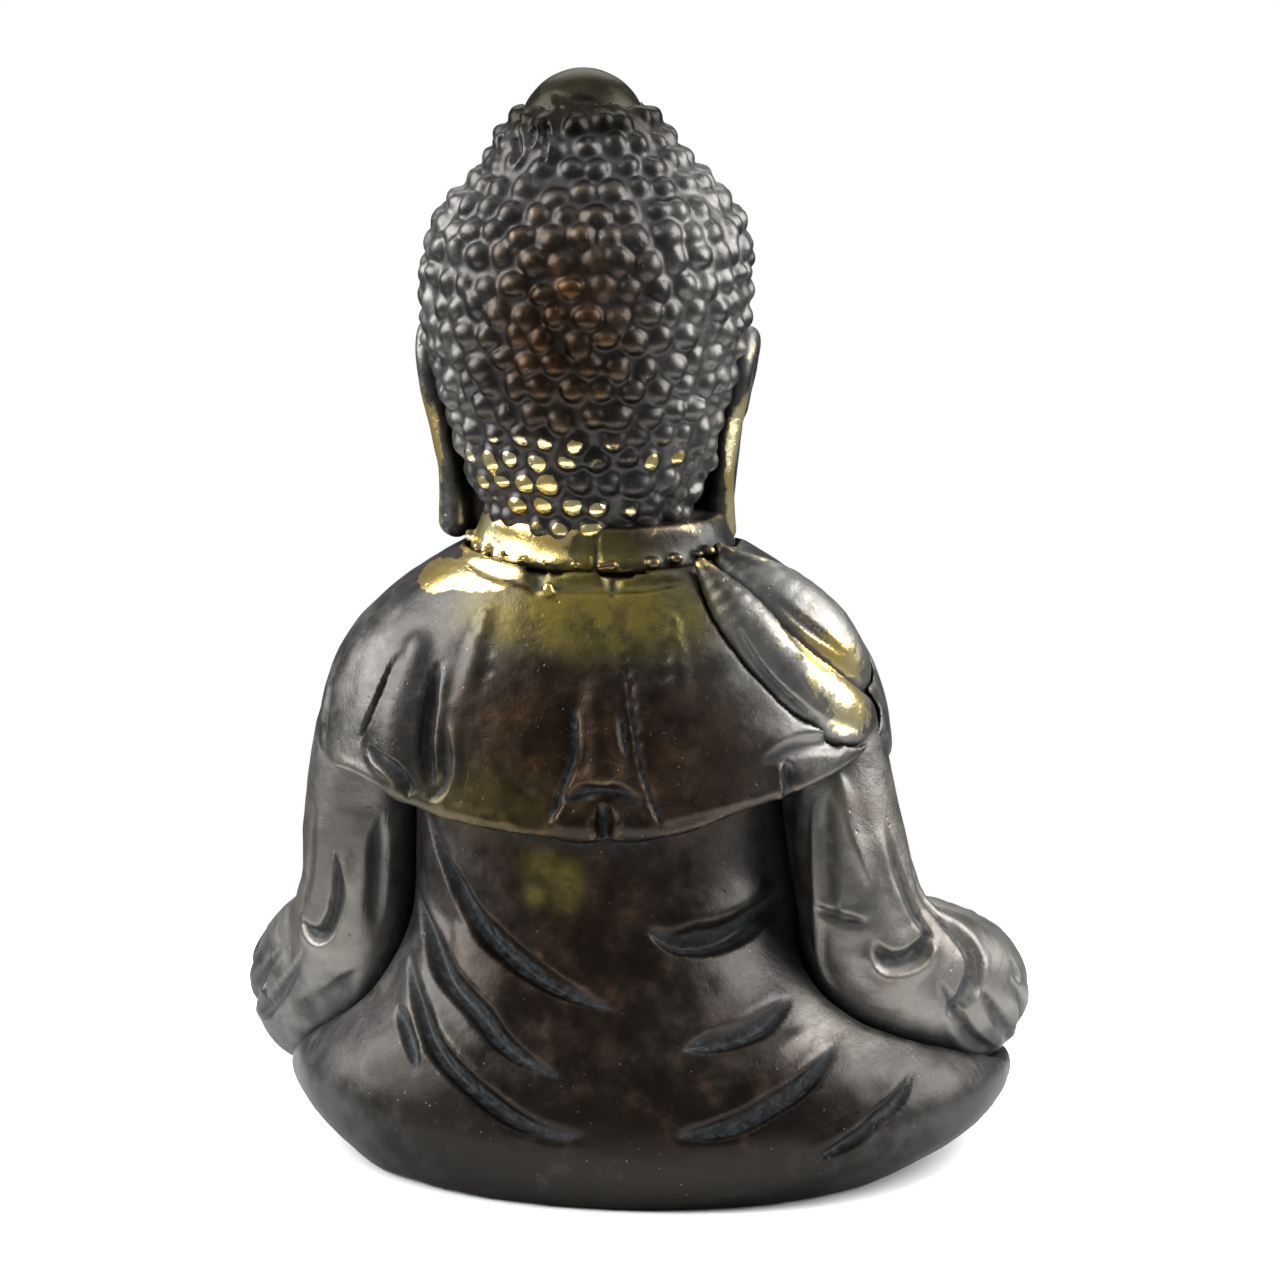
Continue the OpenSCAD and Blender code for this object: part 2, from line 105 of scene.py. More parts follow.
# ------------------------------------------------------------------ fields
class Grid:
    """A box of sample points; fields on it are negative inside the metal."""

    def __init__(self, lo, hi, h):
        self.h, self.lo = h, np.array(lo, np.float64)
        self.n = np.ceil((np.array(hi) - self.lo) / h).astype(int) + 1
        axes = [self.lo[i] + h * np.arange(self.n[i]) for i in range(3)]
        shapes = ((-1, 1, 1), (1, -1, 1), (1, 1, -1))
        self.axes = [a.astype(np.float32) for a in axes]
        self.x, self.y, self.z = [a.reshape(s) for a, s in zip(self.axes, shapes)]

    def window(self, lo, hi):
        a = np.clip(np.floor((np.array(lo) - self.lo) / self.h).astype(int), 0, self.n - 1)
        b = np.clip(np.ceil((np.array(hi) - self.lo) / self.h).astype(int) + 1, 1, self.n)
        return tuple(slice(i, max(j, i + 1)) for i, j in zip(a, b))

    def coords(self, w):
        return self.x[w[0]], self.y[:, w[1]], self.z[:, :, w[2]]

    def sample(self, d, p):
        q = (p - self.lo) / self.h
        i = np.clip(np.floor(q).astype(int), 0, self.n - 2)
        f = np.clip(q - i, 0, 1)
        out = 0
        for c in np.ndindex(2, 2, 2):
            weight = np.prod(np.where(c, f, 1 - f), axis=1)
            out = out + weight * d[tuple((i + c).T)]
        return out

    def slope(self, d, p, e=None):
        e = e or self.h
        g = np.stack([self.sample(d, p + e * s) - self.sample(d, p - e * s) for s in np.eye(3)], 1)
        return g / np.maximum(np.linalg.norm(g, axis=1), 1e-6)[:, None]


def join(a, b, k=0.5):
    m = np.maximum(k - np.abs(a - b), 0)
    return np.minimum(a, b) - m * m / (4 * k)


def keep(a, b, k=0.5):
    return -join(-a, -b, k)


def cut(a, b, k=0.5):
    return keep(a, -b, k)


def even(g, d):
    """Turns an implicit function into a rough distance."""
    gx, gy, gz = np.gradient(d, g.h)
    return np.clip(d / np.maximum(np.sqrt(gx * gx + gy * gy + gz * gz), 0.02), -FAR, FAR)


def eased(z, zs, values, soft=1.0):
    """values at heights zs, read at z with rounded corners."""
    fine = np.arange(zs[0] - 8, zs[-1] + 8, 0.25)
    v = np.interp(fine, zs, values)
    kernel = np.exp(-0.5 * (np.arange(-24, 25) * 0.25 / soft) ** 2)
    v = np.convolve(np.pad(v, 24, mode="edge"), kernel / kernel.sum(), mode="valid")
    return np.interp(z, fine, v).astype(np.float32)


def loft(g, zs, w, back, front, cx=0, cy=0, p=2.2, soft=1.0):
    """Stacked rounded outlines: half width, furthest back and furthest front at each height."""
    z = g.axes[2]
    w, back, front, cx = [eased(z, zs, np.broadcast_to(v, len(zs)).astype(float), soft)
                          for v in (w, back, front, cx)]
    dy = g.y - cy
    reach = np.where(dy > 0, back[None, None] - cy, front[None, None] + cy)
    d = (np.abs((g.x - cx) / w) ** p + np.abs(dy / reach) ** p) ** (1 / p) - 1
    return even(g, (d * w).astype(np.float32))


def spline(points, sub=5):
    """A smooth curve through rows of numbers."""
    p = np.array(points, float)
    p = np.vstack([2 * p[0] - p[1], p, 2 * p[-1] - p[-2]])
    t = np.linspace(0, 1, sub, endpoint=False)[:, None]
    rows = []
    for a, b, c, d in zip(p[:-3], p[1:-2], p[2:-1], p[3:]):
        bend = 2 * a - 5 * b + 4 * c - d + t * (3 * (b - c) + d - a)
        rows.append(b + 0.5 * t * (c - a + t * bend))
    return np.vstack(rows + [p[-2:-1]])


def limb(g, points, sub=4, flat=(1, 1, 1)):
    """A tube through [x, y, z, radius]; flat squeezes its section along an axis."""
    q = spline(points, sub)
    rad = q[:, 3].max() * max(1 / min(flat), 1) + ROOM
    w = g.window(q[:, :3].min(0) - rad, q[:, :3].max(0) + rad)
    X, Y, Z = g.coords(w)
    best = np.full(np.broadcast_shapes(X.shape, Y.shape, Z.shape), FAR, np.float32)
    s = 1 / np.array(flat)
    for a, b in zip(q[:-1], q[1:]):
        v = (b[:3] - a[:3]) * s
        px, py, pz = (X - a[0]) * s[0], (Y - a[1]) * s[1], (Z - a[2]) * s[2]
        t = np.clip((px * v[0] + py * v[1] + pz * v[2]) / max(v @ v, 1e-9), 0, 1)
        dist = np.sqrt((px - t * v[0]) ** 2 + (py - t * v[1]) ** 2 + (pz - t * v[2]) ** 2)
        np.minimum(best, dist - (a[3] + t * (b[3] - a[3])), out=best)
    out = np.full(tuple(g.n), FAR, np.float32)
    out[w] = best * min(flat)
    return out


def egg(g, c, r):
    """An ellipsoid."""
    out = np.full(tuple(g.n), FAR, np.float32)
    w = g.window(np.array(c) - np.array(r) - ROOM, np.array(c) + np.array(r) + ROOM)
    X, Y, Z = g.coords(w)
    k = np.sqrt(((X - c[0]) / r[0]) ** 2 + ((Y - c[1]) / r[1]) ** 2 + ((Z - c[2]) / r[2]) ** 2)
    n = np.sqrt(((X - c[0]) / r[0] ** 2) ** 2 + ((Y - c[1]) / r[1] ** 2) ** 2
                + ((Z - c[2]) / r[2] ** 2) ** 2)
    out[w] = np.clip(k * (k - 1) / np.maximum(n, 1e-3), -FAR, FAR)
    return out


def cast_onto(g, d, points, axis=1, side=-1):
    """Drops points given on the other two axes onto a field's skin, from the + or - side of axis."""
    other = [i for i in range(3) if i != axis]
    out = []
    for point in points:
        i = [int(round((v - g.lo[k]) / g.h)) for v, k in zip(point, other)]
        i = [min(max(v, 0), g.n[k] - 1) for v, k in zip(i, other)]
        line = np.moveaxis(d, axis, 2)[i[0], i[1]]
        inside = np.nonzero(line < 0)[0]
        at = (inside[-1] if side > 0 else inside[0]) if len(inside) else len(line) // 2
        out.append(np.insert(np.array(point, float), axis, g.axes[axis][at]))
    return np.array(out)


def stroke(g, d, path, width, depth, ridge=0.0, lean=0.0, taper=(0.25, 0.25), sub=5, sharp=1.6):
    """Drags a tool along a path on the skin. A positive depth cuts, ridge heaps metal beside it on
    the side that lean points to (+1 left, -1 right of the way the path runs)."""
    q = spline(path, sub)
    reach = width * 3.2
    w = g.window(q.min(0) - reach, q.max(0) + reach)
    X, Y, Z = g.coords(w)
    sub_d = d[w]
    near = np.nonzero(np.abs(sub_d) < SKIN_BAND)
    p = np.stack([X[near[0], 0, 0], Y[0, near[1], 0], Z[0, 0, near[2]]], 1)
    best = np.full(len(p), 1e9)
    at = np.zeros(len(p))
    off = np.zeros(len(p))
    steps = np.linalg.norm(np.diff(q, axis=0), axis=1)
    start = np.concatenate([[0], np.cumsum(steps)])
    normal = g.slope(d, 0.5 * (q[1:] + q[:-1]), 1.2)
    for i, (a, b) in enumerate(zip(q[:-1], q[1:])):
        v = b - a
        across = np.cross(v / max(steps[i], 1e-6), normal[i])
        across /= max(np.linalg.norm(across), 1e-6)
        t = np.clip((p - a) @ v / max(v @ v, 1e-9), 0, 1)
        away = p - a - t[:, None] * v
        flat = away - (away @ normal[i])[:, None] * normal[i]
        dist = np.linalg.norm(flat, axis=1) + 0.25 * np.abs(away @ normal[i])
        hit = dist < best
        best[hit] = dist[hit]
        at[hit] = (start[i] + t[hit] * steps[i]) / start[-1]
        off[hit] = -(away[hit] @ across)
    thin = np.clip(at / max(taper[0], 1e-3), 0, 1) * np.clip((1 - at) / max(taper[1], 1e-3), 0, 1)
    fade = thin * (2 - thin)
    size = 0.2 + 0.8 * thin
    power = 2
    if ridge and depth > 0:
        size = size * (1 + 0.45 * np.tanh(off * lean / (0.5 * width)))
        power = 2.8
    amount = depth * fade * np.exp(-(best / (width * size)) ** power * sharp)
    if ridge:
        heap = np.exp(-((off * lean - 1.35 * width) / (0.8 * width)) ** 2)
        amount -= ridge * fade * heap * (best < reach)
    sub_d[near] += amount.astype(np.float32)


def lattice(p, size, seed):
    """Smooth seeded noise, about -1 to 1."""
    q = p / size
    i = np.floor(q).astype(np.int64)
    f = q - i
    f = f * f * (3 - 2 * f)
    out = 0
    for c in np.ndindex(2, 2, 2):
        k = i + np.array(c)
        n = (k[:, 0] * 73856093) ^ (k[:, 1] * 19349663) ^ (k[:, 2] * 83492791) ^ (seed * 2654435761)
        n = (n ^ (n >> 13)) * 1274126177 & 0x7FFFFFFF
        n = ((n ^ (n >> 16)) & 0xFFFF) / 32767.5 - 1
        out = out + n * np.prod(np.where(c, f, 1 - f), axis=1)
    return out


def hammered(g, d, amounts, seed):
    """Adds the unevenness of hand-finished wax: [(size, height), ...]."""
    near = np.nonzero(np.abs(d) < 2.0)
    p = g.lo + np.stack(near, 1) * g.h
    for i, (size, height) in enumerate(amounts):
        d[near] += (height * lattice(p, size, seed + i)).astype(np.float32)


def blurred(g, d, sigma):
    """Gaussian blur of a field, for reading how hollow or proud a place is."""
    d = np.clip(d, -3, 3)
    r = int(math.ceil(2.4 * sigma / g.h))
    k = np.exp(-0.5 * (np.arange(-r, r + 1) * g.h / sigma) ** 2)
    k /= k.sum()
    for axis in range(3):
        padded = np.pad(d, [(r, r) if a == axis else (0, 0) for a in range(3)], mode="edge")
        out = np.zeros_like(d)
        for i, weight in enumerate(k):
            s = [slice(None)] * 3
            s[axis] = slice(i, i + d.shape[axis])
            out += np.float32(weight) * padded[tuple(s)]
        d = out
    return d


def smoothstep(a, b, v):
    t = np.clip((v - a) / (b - a), 0, 1)
    return t * t * (3 - 2 * t)


# ------------------------------------------------------------------ meshing
def largest_part(count, quads):
    """Marks the vertices of the biggest connected part."""
    label = np.arange(count)
    edges = np.concatenate([quads[:, [0, 1]], quads[:, [1, 2]], quads[:, [2, 3]]])
    while True:
        low = np.minimum(label[edges[:, 0]], label[edges[:, 1]])
        new = label.copy()
        np.minimum.at(new, edges[:, 0], low)
        np.minimum.at(new, edges[:, 1], low)
        new = new[new]
        if (new == label).all():
            return label
        label = new


def sliced(mesh, height, above):
    """Cuts a mesh flat at a height and closes the cut."""
    bm = bmesh.new()
    bm.from_mesh(mesh)
    everything = bm.verts[:] + bm.edges[:] + bm.faces[:]
    bmesh.ops.bisect_plane(bm, geom=everything, dist=1e-7, plane_co=(0, 0, height * U),
                           plane_no=(0, 0, 1), clear_outer=not above, clear_inner=above)
    bmesh.ops.holes_fill(bm, edges=[e for e in bm.edges if e.is_boundary], sides=0)
    bm.to_mesh(mesh)
    bm.free()


def mesh_of(name, g, d, material, node, slot, shade, height=None, above=True):
    """Turns a field into a piece that stands for a CAD node, or one side of it cut at a height."""
    band = 3 * g.h
    vdb = openvdb.FloatGrid(band)
    vdb.copyFromArray(np.ascontiguousarray(np.clip(np.pad(d, 1, constant_values=FAR), -band, band)))
    p, quads = vdb.convertToQuads(isovalue=0)
    quads = quads.astype(np.int64)
    p = g.lo + (p.astype(np.float64) - 1) * g.h
    label = largest_part(len(p), quads)
    names, count = np.unique(label, return_counts=True)
    wanted = label == names[np.argmax(count)]
    quads = quads[wanted[quads[:, 0]]]
    order = np.cumsum(wanted) - 1
    p, quads = p[wanted], order[quads]
    for _ in range(2):
        p = p - g.slope(d, p) * np.clip(g.sample(d, p), -0.4 * g.h, 0.4 * g.h)[:, None]
    mesh = bpy.data.meshes.new(name)
    mesh.vertices.add(len(p))
    mesh.vertices.foreach_set("co", (p * U).astype(np.float32).ravel())
    mesh.loops.add(4 * len(quads))
    mesh.loops.foreach_set("vertex_index", quads.ravel().astype(np.int32))
    mesh.polygons.add(len(quads))
    mesh.polygons.foreach_set("loop_start", np.arange(0, 4 * len(quads), 4, dtype=np.int32))
    mesh.update(calc_edges=True)
    mesh.validate()
    if height is not None:
        sliced(mesh, height, above)
    mesh.shade_smooth()
    p = np.empty(3 * len(mesh.vertices), np.float32)
    mesh.vertices.foreach_get("co", p)
    p = p.reshape(-1, 3).astype(np.float64) / U
    for key, value in shade(p).items():
        layer = mesh.attributes.new(key, "FLOAT", "POINT")
        layer.data.foreach_set("value", np.clip(value, 0, 1).astype(np.float32))
    mesh.normals_split_custom_set_from_vertices(g.slope(d, p))
    mesh.materials.append(material)
    piece = bpy.data.objects.new(name, mesh)
    bpy.context.scene.collection.objects.link(piece)
    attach(piece, "root")
    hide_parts(node)
    print("piece", name, len(mesh.polygons))
    return piece


# ------------------------------------------------------------------ body sculpt
B = Grid((-38, -30, -1), (38, 26, 61.5), 0.34)

# The robe: lap and torso lofted, with the crossed legs and the flanks filled out.
LAP_Z = [-2, 0, 1.5, 3, 6, 9, 12, 15, 18, 21]
lap = loft(B, LAP_Z, [24.4, 26.5, 29, 31.4, 33.7, 33.6, 31.2, 26.8, 22.6, 20],
           [20.2, 21.4, 22.5, 23.0, 23.2, 22.6, 21.4, 20, 18.4, 17],
           [19, 20, 22, 23.4, 24.4, 24, 22.4, 19.5, 16, 13],
           [-0.6, -0.9, -1.4, -1.7, -1.7, -1.7, -1.3, -0.8, 0, 0], -6, 2.25, 1.3)
lap = keep(lap, B.z - 20, 3)
TORSO_Z = [6, 14, 20, 26, 32, 38, 44, 50, 55, 58]
torso = loft(B, TORSO_Z, [22, 20, 18.2, 17.4, 17.4, 17.8, 17, 13.5, 9.6, 8],
             [20.6, 19.0, 17.5, 16.6, 16.2, 16, 14.6, 12, 9.4, 8.4],
             [9, 11, 12.4, 12.9, 13, 13, 12, 10.5, 8.4, 7.4],
             [0, 0.6, 1.2, 1.6, 1.8, 1.8, 1.8, 1.8, 1.8, 1.8], 0, 2.2, 1.5)
torso = keep(torso, 7 - B.z, 2)
left_leg = limb(B, [(13, 2, 9, 9), (24.2, -10.5, 8, 7.6), (15, -19.6, 6.6, 6),
                    (2, -21.6, 6, 4.8), (-8, -21, 5.6, 4.4)])
right_leg = limb(B, [(-13, 2, 9, 9), (-24.2, -10.5, 8, 7.6), (-15, -18.8, 8.2, 6),
                     (-3, -20.4, 8.6, 4.8), (7, -19.5, 8.6, 4)])
body = join(join(lap, torso, 5), join(left_leg, right_leg, 0.8), 2.5)
for side in SIDES:
    flank = [(SWAY + side * 13, -1, 46, 3.6), (SWAY + side * 14.6, 0, 36, 4.2),
             (SWAY + side * 15.6, 0, 22, 5)]
    body = join(body, limb(B, flank), 2)
body = keep(body, -B.z, 0.7)


def sleeve_of(points, cuff, elbow):
    """An arm in its sleeve, hollow at the cuff, with cloth slung outside the elbow."""
    d = cut(limb(B, points, flat=(0.9, 1, 1)), limb(B, cuff), 0.4)
    return join(d, limb(B, elbow), 3)


left_sleeve = sleeve_of([(18.5, 2, 47, 4.8), (22.6, 2.4, 40, 5.6), (23.9, 2.6, 32, 5.8),
                         (24.2, 2.4, 24, 5.8), (25, 0.8, 16.8, 6.5), (28.9, -4, 12.4, 7.1),
                         (30, -9, 11.8, 6.7), (25.4, -15, 13.8, 5.5), (18.6, -18.4, 15, 4.8),
                         (13, -19.2, 15.6, 4.2)], [(12, -19.3, 15.6, 3), (6, -19.4, 15.6, 4)],
                        [(27, 2, 22, 2.2), (30.2, -2, 18.6, 3), (32, -5, 15, 3.2)])
right_sleeve = sleeve_of([(-15.6, 2, 47, 4.6), (-19, 2.8, 40, 5.5), (-20.8, 3.4, 32, 5.8),
                          (-22.3, 3.4, 25, 6.2), (-24, 2, 18.5, 7), (-28.3, -3.4, 15, 7.3),
                          (-30.2, -9, 14, 6.7), (-25.6, -15.4, 14.8, 5.8),
                          (-18.8, -18.8, 15.6, 5), (-13, -19.6, 16.4, 4.4)],
                         [(-12, -19.7, 16.4, 3.1), (-6, -19.8, 16.4, 4)],
                         [(-27.4, 2, 21, 2.4), (-30.8, -2, 18.6, 3), (-32.6, -5, 15.4, 3.1)])

# The cape: a thick shell, open down the front, with an uneven hem behind.
CAPE_Z = [28, 34, 38, 42, 46, 49.5, 53, 56, 59]
cape_skin = loft(B, CAPE_Z, [25.2, 26, 26.4, 26, 24.7, 22.4, 18.5, 14.2, 8],
                 [18.6, 18.9, 18.5, 17.7, 16.2, 14.6, 12.8, 11, 7],
                 [14.8, 14.9, 14.6, 14, 13, 11.8, 10.5, 9.2, 6], SWAY, 0, 2.3, 1)
hem = eased(B.axes[0], [-26, -23.5, -22.4, -18.5, -13.6, -8.4, -1, 6, 13, 18, 21.8, 28],
            [40.5, 39.7, 38.7, 37, 35.6, 33.8, 33, 33.4, 34.2, 35.3, 36.8, 37.4], 0.8)[:, None, None]
hem = np.where(B.y > 0, hem, 37.5 + 0 * hem)
cape = cut(keep(cape_skin, hem - B.z, 0.9), cape_skin + 2.9, 0.3)
opening = np.abs(B.x - SWAY) - (3.4 + (56 - B.z) * 0.5)
cape = cut(cape, np.maximum(opening * 0.88, B.y + 2), 0.8)

# Two crescent rolls of cloth over the right shoulder.
roll_high = limb(B, [(-9.6, 5, 57, 0.8), (-13.7, 5, 52.8, 3.6), (-16.8, 4.4, 49.4, 4.5),
                     (-18.7, 3, 46.6, 4.2), (-19, -0.5, 45, 3.4), (-17.6, -4, 44.2, 2),
                     (-15, -5.6, 43.6, 0.8)])
roll_low = limb(B, [(-8.6, 8.8, 56.6, 0.6), (-11.8, 9.4, 52.6, 2.2), (-14.6, 9.6, 49.2, 2.8),
                    (-17.6, 8.6, 45.6, 3.3), (-19.8, 6.4, 42.9, 3.6), (-20.2, 2.4, 41.8, 3.4),
                    (-19.6, -2.4, 41.6, 2.7), (-18, -6.6, 41.4, 1.8), (-15.4, -8.8, 41.4, 0.8)])

collar = loft(B, [53, 56, 57.4, 59, 61], [12.7, 12.3, 11.7, 11.1, 10.2],
              [10.9, 10.6, 10.1, 9.6, 9], [10.2, 9.9, 9.4, 8.9, 8.2], SWAY, 0, 2.1, 0.6)
collar = keep(keep(collar, 55.8 - B.z, 0.6), B.z - 59.7, 0.5)

sash = loft(B, [26, 28.2, 29.4, 32.6, 33.8, 36], [17, 18, 18.6, 18.6, 18, 17], 3,
            [13, 13.4, 14.1, 14.1, 13.4, 13], SWAY, 0, 2.2, 0.4)
for limit in (np.abs(B.z - 31) - 2.9, B.y + 3, np.abs(B.x - SWAY) - 17.6):
    sash = keep(sash, limit, 0.5)
ends = join(limb(B, [(SWAY, -14, 30.4, 0.9), (0.6, -14.6, 28, 1.1), (0.2, -14.3, 25.4, 1.2)]),
            limb(B, [(SWAY, -14, 30.4, 0.9), (3.2, -14.5, 28.4, 1.1), (4, -14.1, 26.2, 1.1)]), 0.2)
knot = join(egg(B, (SWAY, -14.1, 31), (2, 1.5, 1.9)), ends, 0.3)
sash = join(sash, knot, 0.3)

# ------------------------------------------------------------------ drapery on the body
LINED = [  # path, width, depth, heaped edge: hollows pulled across the back of the robe
    ([(16.6, 9.4, 33.4), (15.4, 11.2, 30.6), (14.2, 12.4, 28.6), (11.8, 14.3, 25), (8.8, 16.3, 22.6),
      (4.6, 18.2, 20.2), (0.8, 19.1, 18.8), (-3, 19.5, 17.8)], 1.15, 1.25, 0.42),
    ([(18.2, 6, 25.4), (16.4, 11, 22.3), (13.8, 15.4, 19.2), (10.3, 18.3, 16.8), (8, 19.9, 14.7),
      (5.2, 21, 13.2), (1.6, 21.7, 12)], 1.15, 1.2, 0.42),
    ([(18, 10.2, 19.8), (16.8, 14.3, 17.3), (15.3, 17.1, 14.7), (13, 19.3, 12.4), (9.8, 21.2, 10.2),
      (6.4, 22.4, 8.2), (3, 23, 7.2), (-1, 23.2, 7)], 1.1, 1.15, 0.42),
    ([(18.8, 13.5, 15.9), (17.1, 16.4, 13.9), (15.4, 18.5, 11.2)], 0.8, 0.7, 0.2),
    ([(-4.8, 16, 24.6), (-7.5, 15.5, 23.1), (-10.5, 13.6, 22.9), (-13, 10.8, 23.6), (-14.8, 7.2, 24.7),
      (-15.6, 4, 26.2)], 1.35, 1.35, 0.5),
    ([(-8.6, 19.8, 14.6), (-12.9, 18, 15.2), (-15.6, 15.9, 16.1), (-17.7, 12.2, 18.2)], 1.1, 1.0, 0.35),
    ([(-8.4, 22.5, 7.2), (-13.5, 21.1, 7.9), (-17.2, 19.2, 9.7), (-19.8, 16.9, 11.4),
      (-21.8, 13.4, 14.2)], 1.1, 1.0, 0.38),
    ([(-19.4, 18.7, 4.6), (-23.3, 16.3, 6.3), (-25, 14.8, 7.5), (-26.8, 12.6, 8.7),
      (-28.2, 9.2, 11.2)], 0.9, 0.65, 0.25),
]
DEEPER, FLATTER = 1.05, 0.7
for path, width, depth, ridge in LINED:
    stroke(B, body, path, width, DEEPER * depth, FLATTER * ridge, 1, (0.3, 0.35))

# Soft swellings of cloth between the hollows.
for path in ([(15, 14.5, 25), (10.5, 17.8, 20.4), (4, 20.2, 16.4)],
             [(16, 17, 16.4), (10, 20.6, 12.4), (2, 22.6, 9.6)],
             [(-7, 17, 26), (-12, 13, 26.2), (-15.4, 7.6, 28)],
             [(-9, 20.6, 11.6), (-15, 18, 12.8), (-19.4, 13.6, 15.6)]):
    stroke(B, body, path, 2.0, -0.55, 0, 1, (0.4, 0.4), sharp=0.9)


def front_stroke(d, points, *how, middle=0, side=1):
    """A stroke down the front of a piece through [x, z], x counted out from the middle."""
    path = cast_onto(B, d, [(middle + side * x, z) for x, z in points])
    stroke(B, d, path, *how)


# The front: robe over the shins and its hem, crossed neck edges, folds across the chest.
SLACK = (0.35, 0.35)  # a fold that dies out at both ends
for k in range(6):
    shin = [((-27 + 5.4 * k + 30) * 0.8 + 2, 13.5 - 1.1 * k), (12 + 2 * k, 9 - 0.5 * k),
            (21 + k, 6 + 0.6 * k)]
    for side in SIDES:
        front_stroke(body, shin, 1.0, 0.75, 0.2, side, SLACK, side=side)
for side in SIDES:
    front_stroke(body, [(3, 2.3), (9, 2.0), (15, 2.1), (21, 2.6), (26, 3.8)],
                 0.8, 0.7, 0.3, -side, (0.2, 0.3), side=side)
    front_stroke(body, [(2.2, 35), (4.6, 41), (6.6, 47), (7.6, 53)],
                 1.2, 0.9, 0.45, side, (0.1, 0.1), middle=SWAY, side=side)
for k in range(4):
    front_stroke(body, [(12, 46 - 5 * k), (5, 39.5 - 4.4 * k), (-2, 37 - 4.2 * k)],
                 0.8, 0.45, 0.15, 1, (0.3, 0.4), middle=SWAY)

# ------------------------------------------------------------------ drapery on the sleeves
LEFT_LINES = [  # path, width, depth, heaped edge, side of the heap
    ([(25.3, 7.8, 29), (25.1, 7.7, 25.4), (25.6, 7.5, 22.6), (27, 6.9, 20.6), (29, 4.4, 21.4)],
     0.8, 1.0, 0.35, 1),
    ([(33.4, 0.4, 17.4), (33.9, 0.2, 14.4), (33.2, 0.6, 11.6)], 0.5, 0.5, 0.15, 1),
    ([(20.2, 8.6, 33), (20, 8.8, 26), (20.6, 9.4, 20)], 1.4, 0.5, 0.25, -1),
    ([(23, 8.6, 17.4), (26.6, 7.4, 14.4), (30.4, 3, 12.4)], 1.6, 0.45, 0.2, 1),
]
RIGHT_LINES = [
    ([(-18.9, 8.5, 36), (-19.1, 9, 28), (-19.4, 8.4, 20), (-21.7, 9.9, 16.3)], 0.8, -0.45, 0, 1),
    ([(-20.2, 8.8, 36.5), (-20.6, 9, 30), (-21, 9.2, 24)], 1.2, 0.5, 0, 1),
    ([(-21.2, 9.2, 39), (-21.9, 8.4, 33.5), (-24, 8.6, 27.2)], 1.1, -0.5, 0, 1),
    ([(-19, 8.8, 25.5), (-21.2, 9.6, 24.7), (-24.1, 9.2, 24.3)], 0.5, 0.5, 0.2, 1),
    ([(-24.4, 9.4, 22.6), (-26, 8.8, 20.9), (-27.8, 6.8, 21.2), (-28.8, 4.6, 22.8)], 1.0, 1.2, 0.4, -1),
    ([(-28.2, 3.2, 24), (-30.3, 1.9, 21.4), (-32.1, 1.7, 19), (-31.8, 3.3, 16.6), (-30.2, 4.9, 14.8)],
     1.1, 0.6, 0.25, 1),
    ([(-34.3, -3.2, 18.3), (-35.5, -4, 15.2)], 0.45, 0.4, 0.1, 1),
]
for sleeve, lines in ((left_sleeve, LEFT_LINES), (right_sleeve, RIGHT_LINES)):
    for path, width, depth, ridge, lean in lines:
        stroke(B, sleeve, path, width, depth, ridge, lean, (0.3, 0.3))
for sleeve, side in ((left_sleeve, 1), (right_sleeve, -1)):
    for k in range(3):
        fold = [(31.5 - 2.8 * k, 19.8 - 0.9 * k), (30 - 3.1 * k, 15 - 0.2 * k), (27.6 - 3.2 * k, 10.6)]
        front_stroke(sleeve, fold, 0.9, 0.6, 0.2, -side, SLACK, side=side)
    for k in range(3):
        fold = [(26 - 1.5 * k, 42 - 6 * k), (22 - 0.6 * k, 37 - 6 * k), (19.4, 34 - 6 * k)]
        front_stroke(sleeve, fold, 1.0, 0.6, 0.2, side, SLACK, side=side)
    for k in range(4):
        fold = [(5.5 - 3.6 * k, 18.5 - 0.6 * k), (1.5 - 3.9 * k, 12.4), (-3.4 - 3.9 * k, 9.6)]
        stroke(B, sleeve, cast_onto(B, sleeve, fold, 0, side), 0.9, 0.55, 0.22, side, SLACK)
    for k in range(3):
        fold = [(6.5 - 3.4 * k, 33 - 2 * k), (6 - 3 * k, 27), (4.6 - 2.6 * k, 21 + k)]
        stroke(B, sleeve, cast_onto(B, sleeve, fold, 0, side), 0.85, 0.5, 0.2, side, SLACK)

